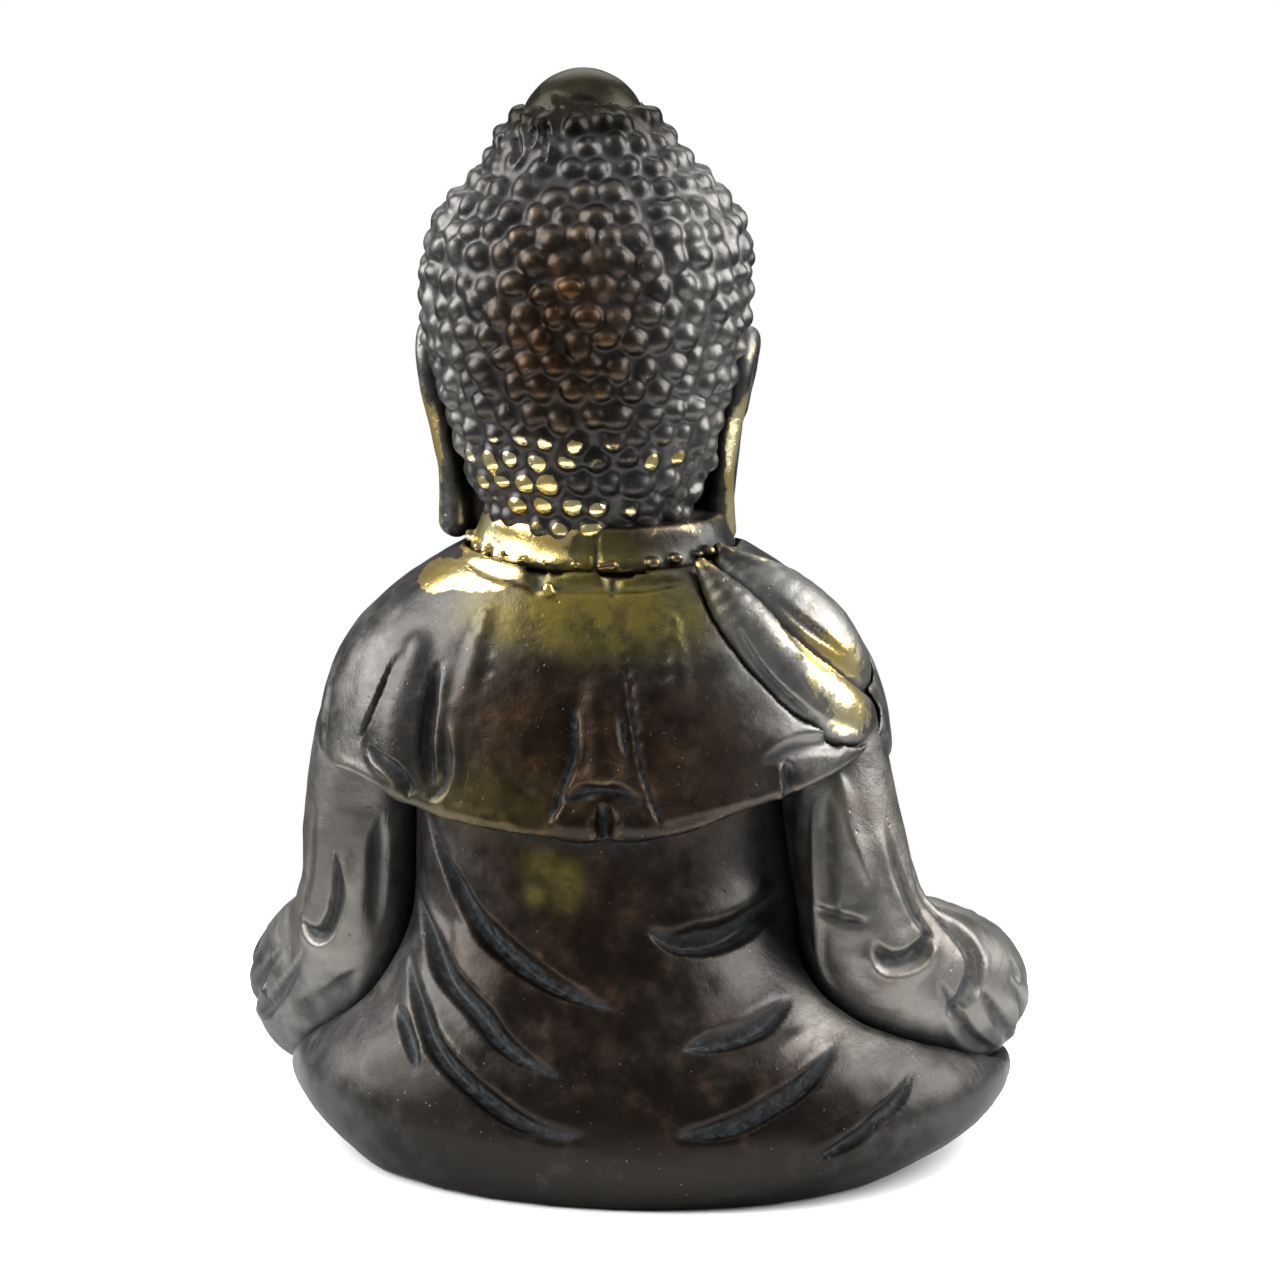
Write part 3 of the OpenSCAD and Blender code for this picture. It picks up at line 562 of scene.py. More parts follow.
# ------------------------------------------------------------------ drapery on the cape
# A gathered tuck on the left, the bulge of the box pleat and its two lips on the hem.
tuck = limb(B, [(16.6, 11.6, 48.5, 1), (17.4, 12.8, 44, 1.9), (17.9, 13.4, 40, 2.4), (16.9, 14.4, 37.6, 1.7)])
cape = join(cape, tuck, 1.6)
cape = join(cape, limb(B, [(-0.4, 15.4, 46, 0.6), (-0.8, 16.8, 42, 1.5), (-1.2, 17.4, 39.4, 1.9)]), 1.4)
for c, r in (((1.2, 17.7, 34.8), (2.6, 2, 1.8)), ((-4, 17.5, 34.9), (2.4, 2, 1.8))):
    cape = join(cape, egg(B, c, r), 0.9)
CAPE_LINES = [  # path, width, depth, heaped edge, side of the heap, taper at each end
    ([(18.7, 11.2, 48), (19.3, 12.2, 45.6), (20.2, 12.6, 43), (21.7, 12.4, 39.6)],
     0.6, 1.05, 0.3, 1, (0.35, 0.3)),
    ([(14.4, 13.3, 48), (15, 14.9, 44), (15.2, 16, 40.2), (14.3, 16.8, 36.8)], 0.7, 1.2, 0.3, 1, (0.35, 0.2)),
    ([(13.4, 15.8, 43), (13.2, 16.9, 38.4), (14.6, 16.8, 35.8)], 0.7, 0.5, 0.3, 1, (0.4, 0.2)),
    ([(21, 13.3, 39.9), (19.4, 14.6, 39.4), (17.8, 16, 38.4), (16.8, 16.4, 37.2), (16.6, 16.4, 35.8)],
     0.7, 1.1, 0.3, -1, (0.3, 0.15)),
    ([(1.5, 16.4, 45), (1.3, 17.7, 41.4), (2.1, 18.3, 38.6), (2.8, 18.6, 36.6), (3.1, 18.8, 34.6)],
     0.5, 0.6, 0.25, 1, (0.4, 0.15)),
    ([(-2, 13.5, 51), (-3.2, 15.4, 47.1), (-4.1, 17.1, 42.9), (-4.9, 17.9, 39.6), (-5.9, 18.2, 36.9),
      (-6.6, 18.2, 34.4)], 0.3, 0.5, 0.15, -1, (0.4, 0.15)),
    ([(-2.6, 16.3, 45), (-3.4, 17.8, 40.6)], 0.36, 0.3, 0.1, -1, (0.3, 0.3)),
    ([(2.4, 18.5, 36.4), (0, 18.8, 37.4), (-2.6, 18.8, 37.5), (-5.1, 18.3, 36.7)],
     0.75, 0.6, 0.25, 1, (0.3, 0.3)),
    ([(-1.35, 19.3, 37), (-1.4, 19.4, 35.4), (-1.5, 19.4, 33)], 0.7, 1.2, 0.15, 1, (0.3, 0.02)),
    ([(-17.1, 13.4, 40), (-17.3, 13.5, 38.4), (-17.2, 13.4, 36.6)], 0.7, 0.7, 0.4, -1, (0.3, 0.1)),
    ([(-14.6, 14.8, 39.6), (-18, 12.8, 41), (-21.6, 8.9, 40.6)], 1.0, 0.5, 0.4, 1, (0.4, 0.1)),
    ([(9, 18.2, 41), (4.6, 18.6, 36.6)], 1.6, 0.35, 0.1, 1, (0.4, 0.4)),
    ([(-10, 16.4, 42), (-8.6, 17.8, 36.8)], 1.6, 0.35, 0.1, -1, (0.4, 0.4)),
    ([(23.6, 5, 46), (24.4, 6.4, 41), (24.6, 7, 37.6)], 1.2, 0.4, 0.2, 1, (0.4, 0.2)),
]
for path, width, depth, ridge, lean, ends in CAPE_LINES:
    stroke(B, cape, path, width, depth, ridge, lean, ends)
# A thin raised edge along the hem.
for hem_back in ([(24.6, 8.4, 37.8), (23.4, 11.2, 38), (20.3, 13.9, 37.4), (16, 16.3, 36.1),
                  (11.2, 17.8, 35.2), (6, 18.6, 34.6)],
                 [(-6.4, 18.2, 35.3), (-11.3, 16.8, 36.4), (-14.7, 15.2, 37.2), (-17, 13.6, 38)]):
    stroke(B, cape, spline(hem_back, 3), 0.55, -0.3, 0, 1, (0.05, 0.05), sub=2)
for side in SIDES:
    for k in range(3):
        fold = [(8 + 3 * k, 53 - 1.6 * k), (7.4 + 4 * k, 47.6 - k), (8.8 + 4 * k, 41)]
        front_stroke(cape, fold, 1.0, 0.6, 0.25, side, (0.3, 0.3), middle=SWAY, side=side)

# ------------------------------------------------------------------ rolls, collar, filler beads
for path, width, depth in (([(-13, 9.2, 52.6), (-16.4, 9.8, 48.8), (-20.4, 8.6, 45.6)], 1.0, 0.35),
                           ([(-11.4, 11, 53.2), (-15, 12, 47.6), (-20.6, 10.2, 42.4)], 0.5, 0.3)):
    stroke(B, roll_low, path, width, depth, 0.15, 1, (0.3, 0.3))
stroke(B, roll_high, [(-14, 7.6, 54), (-18, 7.6, 50.6), (-21.4, 5.8, 47.6)], 0.6, 0.3, 0.1, 1, (0.4, 0.4))


def beads_along(path, count, size, seed):
    """Drops of filler of uneven size scattered along a seam."""
    rng = np.random.RandomState(seed)
    q = spline(path, 12)
    out = np.full(tuple(B.n), FAR, np.float32)
    for k in range(count):
        c = q[int((k + rng.uniform(0.1, 0.9)) / count * (len(q) - 1))] + rng.normal(0, 0.14, 3)
        r = size * rng.uniform(0.6, 1.25)
        np.minimum(out, egg(B, c, (r * rng.uniform(0.8, 1.4), r, r * rng.uniform(0.7, 1.1))), out=out)
    return out


neck_seam = [(SWAY + 12.5 * math.cos(a), 11 * math.sin(a), 56.7 + 0.5 * abs(math.cos(a)))
             for a in np.radians([4, 26, 48, 70, 92, 114, 136, 158])]
fold_seam = [(-9.9, 9.6, 56.2), (-11.2, 11.3, 53.2), (-13.2, 12.3, 49.2), (-15.8, 12.2, 45.5),
             (-18.8, 11.1, 42.5), (-22.1, 8.8, 40.2)]
roll_seam = [(-17.5, 10.8, 49.4), (-19.7, 10.3, 47), (-21.8, 8.8, 45.4)]
cape = join(cape, beads_along(fold_seam, 9, 0.34, 4), 0.2)
roll_low = join(roll_low, beads_along(roll_seam, 3, 0.45, 5), 0.2)
stroke(B, collar, [(0.9, 10.2, 59.4), (0.7, 10.9, 55.6)], 0.35, 0.7, 0.15, 1, (0.02, 0.02))
stroke(B, collar, [(12, 5, 57.8), (7, 9.6, 57.7), (1.8, 10.7, 57.7), (-4, 9.8, 57.8), (-9, 5.2, 58)],
       1.1, 0.2, 0.1, 1, (0.1, 0.1))
stroke(B, cape, [(13.4, 5.6, 55.2), (10, 9.6, 54.9), (4, 11.6, 54.7), (-3, 11.2, 54.8), (-8, 9.6, 55.2)],
       0.9, 0.45, 0.2, 1, (0.2, 0.2))
for x in (6.2, -0.9):
    notch = [(x, 10.9, 56.2), (x - 0.1, 11.6, 55), (x - 0.2, 12.2, 53.8)]
    stroke(B, cape, notch, 0.8, 1.0, 0, 1, (0.02, 0.7))
cape = join(cape, egg(B, (4.7, 11.9, 54.5), (0.55, 0.5, 0.7)), 0.2)

# The unevenness of hand-finished wax.
for i, d in enumerate((body, left_sleeve, right_sleeve, cape, roll_high, roll_low, collar, sash)):
    hammered(B, d, [(7.5, 0.12), (3.4, 0.085), (1.5, 0.035)], 10 + 7 * i)
body = keep(body, -B.z, 0.2)

# Each piece gives way to the ones laid over it, with a narrow seam left between them.
SEAM = 0.16
body = cut(body, np.minimum(left_sleeve, right_sleeve) - 0.25, 1.8)
body = cut(body, sash - SEAM, 0.3)
PLATE_WIDE, PLATE_BACK, PLATE_FRONT, PLATE_TOP, PLATE_POWER = 23.5, 19.2, 18.7, 1.45, 2.25
plate_deep = np.where(B.y > 0, PLATE_BACK, PLATE_FRONT)
plate = np.abs(B.x / PLATE_WIDE) ** PLATE_POWER + np.abs(B.y / plate_deep) ** PLATE_POWER
plate = (plate ** (1 / PLATE_POWER) - 1) * 19
body = cut(body, np.maximum(plate, B.z - PLATE_TOP).astype(np.float32), 0.2)
under = np.minimum(roll_high, roll_low) - SEAM
cape = cut(cape, under, 0.5)
bridge = np.exp(-((B.x - 1.9) / 1.5) ** 2)
cape = cut(cape, collar - 0.4 + 0.4 * bridge, 0.2)
collar = join(collar, beads_along(neck_seam, 14, 0.5, 3), 0.25)
roll_low = cut(roll_low, roll_high - 0.2, 0.6)
roll_low = cut(roll_low, collar - SEAM, 0.3)
roll_high = cut(roll_high, collar - SEAM, 0.3)

whole = np.minimum.reduce([body, left_sleeve, right_sleeve, cape, roll_high, roll_low, collar, sash])
fine = blurred(B, whole, 0.7)
broad = blurred(B, whole, 2.2)


def near_to(p, c, r, power=1):
    """1 at c, falling to 0 about r away; a higher power gives a flatter patch."""
    return np.exp(-((((p - np.array(c)) / np.array(r)) ** 2).sum(1)) ** power)


def patches(p, *rows):
    """Adds up soft patches of [weight, centre, radii, power]."""
    return sum(weight * near_to(p, c, r, power) for weight, c, r, power in rows)


def body_shade(p):
    near, wide = B.sample(fine, p), B.sample(broad, p)
    x, z = p[:, 0], p[:, 2]
    back = smoothstep(-4, 4, p[:, 1])
    # arms and folds mark the flanks and the right shoulder rolls, which are lightened with painted sheen.
    arms = smoothstep(17, 22, np.abs(x - 1))
    left_low = 4 * smoothstep(-5, 5, x)
    arms = arms * smoothstep(10 + left_low, 17 + left_low, z) * (1 - 0.7 * smoothstep(34, 40, z))
    folds = near_to(p, (-17, 8, 48), (8, 8, 10), 2)

    left_brass = patches(p, (1, (11.6, 8.6, 55), (5.4, 5, 1.8), 2), (0.9, (16, 5, 54), (2.4, 5, 1.6), 2),
                         (0.9, (4.7, 12, 54.5), (0.7, 1.5, 0.8), 2))
    collar_brass = smoothstep(1, 6.5, x) * smoothstep(56.2, 57, z) * back
    collar_dull = (0.46 - 0.5 * near_to(p, (0, 10, 57.5), (3.4, 6, 3))) * smoothstep(55.9, 56.6, z) * back
    roll_rub = patches(p, (0.72, (-20.2, 7.2, 47.8), (3.2, 4, 3), 1),
                       (0.68, (-22.2, 7.6, 43.2), (3.4, 4, 2.8), 1),
                       (0.34, (-16, 9, 50.8), (4, 4, 3.4), 1)) + 0.3 * folds
    edge_rub = patches(p, (0.45, (0, 18.6, 34.4), (7, 3, 1.2), 1), (0.3, (-10, 17, 36), (8, 4, 1.5), 1))
    knee_rub = patches(p, (0.3, (27, -18, 9), (9, 8, 6), 1), (0.3, (-27, -18, 9), (9, 8, 6), 1)) * (1 - back)

    # middle and low mark where the film is darkened with painted shade: the middle of the back and the lower
    # lap behind.
    middle = np.maximum(near_to(p, (1, 18, 26), (15, 12, 18), 1.8), near_to(p, (1, 17, 43), (11, 10, 8), 1.5))
    middle = middle * back
    low = smoothstep(19, 9, z) * smoothstep(36, 22, np.abs(x + 4)) * back
    # lap_sides marks the sides of the lap, lightened with painted sheen, a little more on the left.
    lap_sides = smoothstep(15, 27, np.abs(x + 2)) * smoothstep(20, 13, z) * back
    # dark is painted shade and light is painted sheen; both go into the tone attribute.
    dark = 0.42 * middle + 0.5 * low * (1 - middle)
    light = 0.7 * np.maximum(arms, folds) + (0.17 + 0.06 * smoothstep(-5, 5, x)) * lap_sides
    return {
        "hollow": smoothstep(0.0, 0.2, -near) * 0.9 + smoothstep(0.1, 0.7, -wide) * 0.6,
        "proud": smoothstep(0.05, 0.26, near) * 0.75 + smoothstep(0.5, 0.9, wide) * 0.25,
        "tone_and_painted_light": 0.5 - dark + light,
        "rub": left_brass + collar_brass + collar_dull + roll_rub + edge_rub + knee_rub,
        "warm": back * (patches(p, (0.95, (5, 17, 41), (9, 9, 9), 1.4), (0.75, (-9, 15, 40), (7, 9, 8), 1.4),
                                (0.6, (2, 18, 25), (13, 9, 9), 1.4), (0.4, (-6, 20, 12), (16, 9, 7), 1.4))
                        + 0.36 * arms),
        "olive": back * patches(p, (1, (0.5, 12, 52.6), (11, 6, 4), 2), (0.8, (0, 10, 57.5), (4, 5, 3), 1),
                                (0.6, (4.4, 16, 30.2), (2, 4, 1.3), 1.2),
                                (0.7, (2.4, 16, 28.6), (1.6, 4, 2.2), 1.2),
                                (0.6, (5.2, 16, 27.4), (1, 4, 1), 1.5), (0.35, (10, 16, 36), (7, 5, 3), 1)),
    }


# ------------------------------------------------------------------ fingers and feet
# Hands and feet have a finer grid.
HG = Grid((-22, -27, 6), (22, -10, 22), 0.2)


def palm_up(side, lift):
    """One hand lying in the lap, fingers across, thumb raised to meet the other."""
    y0 = -19.4
    d = egg(HG, (side * 5.4, y0, 14.6 + lift), (4.9, 3.5, 1.45))
    wrist = [(side * 15, y0 + 0.6, 16, 2.2), (side * 10.5, y0 + 0.2, 15.4 + lift * 0.5, 1.9),
             (side * 8, y0, 14.8 + lift, 1.7)]
    d = join(d, limb(HG, wrist, flat=(1, 1.25, 0.85)), 1.2)
    for k in range(4):
        y = y0 - 2.75 + 1.72 * k
        tip = (-4.4, -5.2, -4.9, -3.6)[k]
        finger = limb(HG, [(side * 3.6, y * 0.98 - 0.4, 14.6 + lift, 1.05),
                           (side * 1.2, y, 14.35 + lift, 0.98), (side * -1.4, y + 0.05, 14.3 + lift, 0.92),
                           (side * tip, y + 0.2, 14.7 + lift, 0.72)])
        for joint in (1.3, -1.5):
            finger = join(finger, egg(HG, (side * joint, y, 14.4 + lift), (0.85, 1.02, 1.0)), 0.4)
        d = join(d, finger, 0.22)
    thumb = limb(HG, [(side * 8.2, y0 + 1.2, 15 + lift, 1.5), (side * 6, y0 + 2.4, 16.4 + lift, 1.2),
                      (side * 3.4, y0 + 1.8, 17.9 + lift * 0.6, 1.0),
                      (side * 0.75, y0 + 1.2, 18.9 + lift * 0.3, 0.8)])
    d = join(d, thumb, 0.8)
    return join(d, egg(HG, (side * 6.6, y0 + 1.4, 15.2 + lift), (2.2, 1.6, 1.2)), 0.8)


def upturned(side):
    """A foot resting sole up on the opposite thigh."""
    d = limb(HG, [(side * 5.4, -15.6, 10.6, 2.2), (side * 9, -16.8, 10.9, 2.2), (side * 13, -17.8, 11.2, 2.3),
                  (side * 15.6, -18.2, 11.1, 2.2)], flat=(1, 1.25, 0.85))
    d = join(d, egg(HG, (side * 6, -15.9, 11.4), (2.5, 2.2, 1.7)), 0.6)
    d = join(d, egg(HG, (side * 13.6, -18, 12), (2.8, 3.1, 1.3)), 0.6)
    for k in range(5):
        y = -20.9 + 1.38 * k
        r = (0.95, 0.72, 0.7, 0.68, 0.62)[k]
        x = (18.3, 18.6, 18.4, 18, 17.5)[k]
        toe = limb(HG, [(side * 15.4, y * 0.93 - 1.2, 11.6, r * 1.1), (side * (x - 1), y, 12, r),
                        (side * x, y, 12.5, r * 1.05)])
        d = join(d, toe, 0.22)
    return d


left_hand, right_hand = palm_up(1, 0), palm_up(-1, 1.9)
left_foot, right_foot = upturned(1), upturned(-1)
left_hand = cut(left_hand, right_hand - 0.12, 0.2)
for i, d in enumerate((left_hand, right_hand, left_foot, right_foot)):
    hammered(HG, d, [(3, 0.05), (1.2, 0.02)], 60 + 3 * i)
hand_whole = np.minimum(np.minimum(left_hand, right_hand), np.minimum(left_foot, right_foot))
hand_fine = blurred(HG, hand_whole, 0.5)

# ------------------------------------------------------------------ head
H = Grid((-15, -18.5, 50.5), (22, 18, 101.5), 0.235)
SKULL_Z = [50, 54, 57, 59, 61, 63.5, 66, 70, 74, 78, 82, 86, 90]
skull = loft(H, SKULL_Z, [7.8, 7.6, 7.6, 8.2, 9.3, 10.4, 11.3, 12.2, 12.9, 13.2, 13, 11.6, 8],
             [7.8, 7.6, 7.2, 7.1, 7.6, 8.2, 9.2, 10.8, 12, 12.8, 12.6, 11.4, 8],
             [7.2, 7, 7.4, 9.4, 11.6, 12.6, 12.9, 13, 13, 13.2, 12.6, 10.8, 7],
             [1.9, 2.2, 2.6, 2.9, 3.1, 3.3, 3.4, 3.4, 3.4, 3.4, 3.4, 3.3, 3.2], 0, 2.15, 0.9)
skull = keep(keep(skull, 52 - H.z, 0.5), H.z - 88, 2)

# Cheeks, eye sockets and eyes, chin, nose.
for side in SIDES:
    eye_x = FACE_X + side * 4.9
    skull = join(skull, egg(H, (FACE_X + side * 5.6, -8.8, 67.4), (3.6, 3.4, 3.6)), 2.2)
    skull = cut(skull, egg(H, (eye_x, -14.2, 73.4), (3.4, 2.2, 2.1)), 1.6)
    skull = join(skull, egg(H, (eye_x, -10.9, 72.2), (3.2, 2.2, 1.75)), 0.35)
skull = join(skull, egg(H, (FACE_X, -11.2, 61.7), (2.7, 1.8, 1.8)), 1.6)
nose = limb(H, [(FACE_X, -12.1, 76, 1.0), (FACE_X, -13.1, 72.6, 1.05), (FACE_X, -14.1, 69.6, 1.4),
                (FACE_X, -14.2, 68.5, 1.35)])
for side in SIDES:
    nose = join(nose, egg(H, (FACE_X + side * 1.6, -13.1, 68.3), (1.0, 1.3, 0.9)), 0.8)
skull = join(skull, nose, 0.9)
for side in SIDES:
    skull = cut(skull, egg(H, (FACE_X + side * 0.95, -13.9, 67.4), (0.42, 0.6, 0.5)), 0.3)


def on_face(points, side=1):
    """Lays [x, z] on the face, x counted out from its middle."""
    return cast_onto(H, skull, [(FACE_X + side * x, z) for x, z in points])


def lip(points, proud=0.62):
    """A roll of flesh across the face through [x, z, radius], standing proud in the middle."""
    skin = on_face([(x, z) for x, z, r in points])
    return limb(H, [(x, y + r - proud * r / 0.7, z, r) for (x, y, z), (_, _, r) in zip(skin, points)], 6)


upper_lip = lip([(-3.5, 65.75, 0.34), (-2.3, 66, 0.56), (-0.9, 66.3, 0.74), (0, 66.15, 0.68),
                 (0.9, 66.3, 0.74), (2.3, 66, 0.56), (3.5, 65.75, 0.34)])
lower_lip = lip([(-3.1, 65.1, 0.34), (-1.7, 64.65, 0.7), (0, 64.4, 0.86), (1.7, 64.65, 0.7),
                 (3.1, 65.1, 0.34)])
skull = join(skull, join(upper_lip, lower_lip, 0.12), 0.35)

for side in SIDES:
    for path, width, depth, ridge, lean, ends in (
            # Brow, the slit under the lid, the crease above it, the fold from nose to mouth.
            ([(1.2, 74.6), (2.6, 76.3), (5, 77.3), (8, 76.4), (10.2, 74.2)], 0.55, -0.5, 0, 1, (0.15, 0.35)),
            ([(1.9, 71.9), (3.4, 71), (5.2, 70.7), (6.8, 71), (8.4, 72)], 0.38, 0.7, 0.25, side, (0.2, 0.3)),
            ([(2, 73), (4.8, 74.4), (8, 73.2)], 0.35, 0.35, 0.1, 1, (0.3, 0.3)),
            ([(2.3, 69.4), (3.8, 67.6), (4.6, 65.6)], 0.9, 0.3, 0, 1, (0.4, 0.4))):
        stroke(H, skull, on_face(path, side), width, depth, ridge, lean, ends)
    skull = cut(skull, egg(H, on_face([(3.8, 65.6)], side)[0], (0.5, 0.3, 0.34)), 0.5)
for path, width, depth, ridge, ends in (
        # The line of the mouth, the groove above it, the dip above the chin, creases of the neck.
        ([(-3.6, 65.6), (-1.8, 65.3), (0, 65.35), (1.8, 65.3), (3.6, 65.6)], 0.22, 0.3, 0, (0.15, 0.15)),
        ([(0, 67.4), (0, 66.3)], 0.4, 0.3, 0, (0.3, 0.3)),
        ([(-2.4, 63.3), (0, 63), (2.4, 63.3)], 0.9, 0.3, 0, (0.3, 0.3)),
        *(([(x - 0.4, z + abs(x) * 0.09) for x in (-6, -3, 0, 3, 6)], 0.4, 0.4, 0.15, (0.2, 0.2))
          for z in (57.2, 55.5))):
    stroke(H, skull, on_face(path), width, depth, ridge, 1, ends)
bead = egg(H, (FACE_X, -13.4, 79.2), (0.95, 0.85, 0.95))

# Half width, furthest back and front, and middle of the hair at each height.
HAIR_Z = [54, 56, 58, 62, 65, 70, 74.5, 77, 80.5, 84, 85.7, 88.2, 90.9, 93.2, 96, 98, 100]
HAIR_W = [7.2, 7.6, 8.5, 10.2, 11.5, 12.8, 14, 14.4, 14.7, 14.4, 13.9, 12.4, 9.5, 8.0, 5.9, 4.2, 2]
HAIR_BACK = [8.2, 8.4, 8.8, 10, 11.1, 13, 13.9, 14.2, 14.3, 13.8, 13.3, 11.9, 9.5, 8.1, 6.1, 4.3, 2]
HAIR_FRONT = [3, 3, 3, 4, 6, 10, 13, 13.6, 14, 13.4, 12.8, 11.4, 9.6, 8.1, 6.2, 4.4, 2]
HAIR_X = [2.6, 2.6, 2.7, 3, 3.2, 3.3, 3.4, 3.45, 3.4, 3.3, 3.2, 3.1, 3.2, 3.5, 3.65, 3.7, 3.7]
hair = loft(H, HAIR_Z, HAIR_W, HAIR_BACK, HAIR_FRONT, HAIR_X, 0, 2.06, 0.6)
hair = keep(keep(hair, H.z - 97.6, 0.6), 56.8 - H.z, 0.5)
ROW_PITCH, CURL_PITCH = 2.27, 2.66


def curl_places():
    """Rows of curls at an even pitch down the head, as [x, y, z, size]."""
    rng = np.random.RandomState(21)
    z = np.arange(57.4, 95.6, 0.05)
    w, back, front, cx = [eased(z, HAIR_Z, v, 0.6) for v in (HAIR_W, HAIR_BACK, HAIR_FRONT, HAIR_X)]
    walked = np.concatenate([[0], np.cumsum(np.hypot(np.diff(z), np.diff((w + back) / 2)))])
    rows = int(walked[-1] / ROW_PITCH)
    places = []
    for row in range(rows + 1):
        i = min(np.searchsorted(walked, row * walked[-1] / rows), len(z) - 1)
        ring = np.linspace(0, 2 * math.pi, 721)
        reach = np.where(np.cos(ring) > 0, front[i], back[i])
        x, y = cx[i] + w[i] * np.sin(ring), -reach * np.cos(ring)
        length = np.concatenate([[0], np.cumsum(np.hypot(np.diff(x), np.diff(y)))])
        count = max(int(round(length[-1] / CURL_PITCH)), 3)
        shift = 0.5 * (row % 2) + rng.uniform(-0.08, 0.08)
        for k in range(count):
            t = (0.5 + (k + shift + rng.normal(0, 0.1)) / count) * length[-1] % length[-1]
            px, py = np.interp(t, length, x), np.interp(t, length, y)
            places.append((px + rng.normal(0, 0.08), py + rng.normal(0, 0.08), z[i] + rng.normal(0, 0.28),
                           rng.uniform(0.86, 1.1)))
    return np.array(places)


def hairline(x, y, nape):
    """The lower edge of the hair, high over the brow and down to nape behind the ears."""
    turn = np.abs(np.degrees(np.arctan2(x - FACE_X, -y)).astype(np.float32))
    return np.interp(turn, [0, 25, 45, 60, 72, 82, 92, 104], [82, 81.6, 79.6, 77.4, 74, 69, 61, nape])


curls = curl_places()
curls = curls[curls[:, 2] > hairline(curls[:, 0], curls[:, 1], 57) + 0.5]
hair = keep(hair, (hairline(H.x, H.y, 56).astype(np.float32) - H.z) * 0.8, 0.9)

# Each curl is a ball half sunk in the hair, deeper where it is worn or on the flanks.
BIG_CURL, SMALL_CURL, SMALL_ABOVE, CURL_FILLET = 1.3, 1.15, 91, 0.46
places = curls[:, :3]
worn = patches(places, (0.85, (8.6, 5.6, 93.6), (3.2, 4, 2.8), 1), (0.35, (3.4, 12.9, 86), (2, 3, 4), 1),
               (0.7, (-7.6, 6.6, 63), (2.4, 3.4, 3.2), 1))
outward = H.slope(hair, places, 0.8)
shown = H.sample(skull, places) >= -0.4
squashes = np.random.RandomState(5).uniform(0.88, 1.12, (len(curls), 2))
for (x, y, z, size), n, rubbed, (sx, sz) in zip(curls[shown], outward[shown], worn[shown], squashes):
    r = (BIG_CURL if z < SMALL_ABOVE else SMALL_CURL) * size
    sunk = (0.36 + 0.45 * min(rubbed, 1) + 0.12 * smoothstep(7, 12, abs(x - FACE_X))) * r
    c = np.array([x, y, z])
    c = c - n * (H.sample(hair, c[None])[0] + sunk)
    w = H.window(c - r - 0.9, c + r + 0.9)
    X, Y, Z = H.coords(w)
    ball = np.sqrt(((X - c[0]) * sx) ** 2 + ((Y - c[1]) * sx) ** 2 + ((Z - c[2]) * sz) ** 2) - r
    hair[w] = join(hair[w], ball.astype(np.float32), CURL_FILLET)

# A cast flaw near the crown.
for path in ([(9.4, 5.6, 95.4), (8.6, 7, 93.4), (8.8, 7.8, 91.8)],
             [(6, 6.4, 96.4), (6.2, 8.2, 94.2), (5.8, 9.2, 92.4)],
             [(7.6, 6.4, 95.6), (7.4, 7.6, 93.6)], [(10.6, 3.6, 94.2), (10.2, 5.6, 92.4)]):
    stroke(H, hair, path, 0.5, 0.8, 0.3, 1, (0.2, 0.3))
hair = cut(hair, egg(H, (8.9, 4.6, 95.6), (0.5, 1.2, 0.45)), 0.3)

jewel = egg(H, (3.7, 0, 94.2), (5.7, 5.6, 5.6))
jewel = keep(jewel, 95 - H.z, 0.8)
stroke(H, jewel, [(1.6, 4.4, 97.6), (4, 4.8, 97.8), (6, 3.6, 98)], 0.9, 0.15, 0.1, 1, (0.3, 0.3))


def ear_of(side, cx):
    """A long ear, close to the head at the top and hanging clear of it below."""
    def tube(points, sub=4, flat=(1, 1, 1)):
        return limb(H, [(cx + side * x, y, z, r) for x, y, z, r in points], sub, flat)

    rim = tube([(13.4, -4.6, 68.5, 0.8), (13.9, -6, 71.5, 0.95), (14.3, -5.4, 74.3, 1.05),
                (14.5, -3, 75.2, 1.05), (14.4, -1, 73.4, 1.05), (13.9, -0.6, 70, 1.0),
                (13.1, -1.2, 66, 0.95), (12.5, -1.9, 62, 0.95), (12.4, -2.6, 57.6, 1.2)], 6)
    lobe = tube([(12.9, -3.6, 67, 1.3), (12.4, -3.2, 63, 1.35), (12, -3, 60, 1.8), (11.9, -3, 58, 1.9)],
                flat=(0.7, 1.2, 1))
    bowl = tube([(13.1, -3.4, 73.2, 1.2), (12.9, -3.4, 70.4, 1.6), (12.5, -3.2, 67.4, 1.3)],
                flat=(0.5, 1.5, 1))
    inner = tube([(13.8, -3.6, 73.6, 0.5), (13.9, -3, 71.4, 0.55), (13.6, -3.4, 68.8, 0.5)])
    root = tube([(10.8, -4.6, 73, 2.2), (10.6, -4.8, 67, 2.3), (10.4, -4.6, 61, 2.1), (10.2, -4.2, 58, 1.8)],
                flat=(1.25, 0.6, 1))
    return join(join(join(join(rim, lobe, 0.7), bowl, 0.5), inner, 0.3), root, 0.8)


left_ear, right_ear = ear_of(1, 4.0), ear_of(-1, 3.7)

# The unevenness of the wax, roughest in a patch of hair beside the right ear.
hammered(H, skull, [(5, 0.03)], 95)
hammered(H, hair, [(5, 0.12), (1.5, 0.13), (0.7, 0.05)], 90)
for i, d in enumerate((jewel, left_ear, right_ear)):
    hammered(H, d, [(4, 0.06), (1.4, 0.04)], 100 + 5 * i)
skin = np.nonzero(np.abs(hair) < 1.2)
q = H.lo + np.stack(skin, 1) * H.h
rough = near_to(q, (-7.8, 6.4, 63), (2.6, 3.4, 3.4))
hair[skin] += (rough * 0.34 * lattice(q, 0.62, 140)).astype(np.float32)

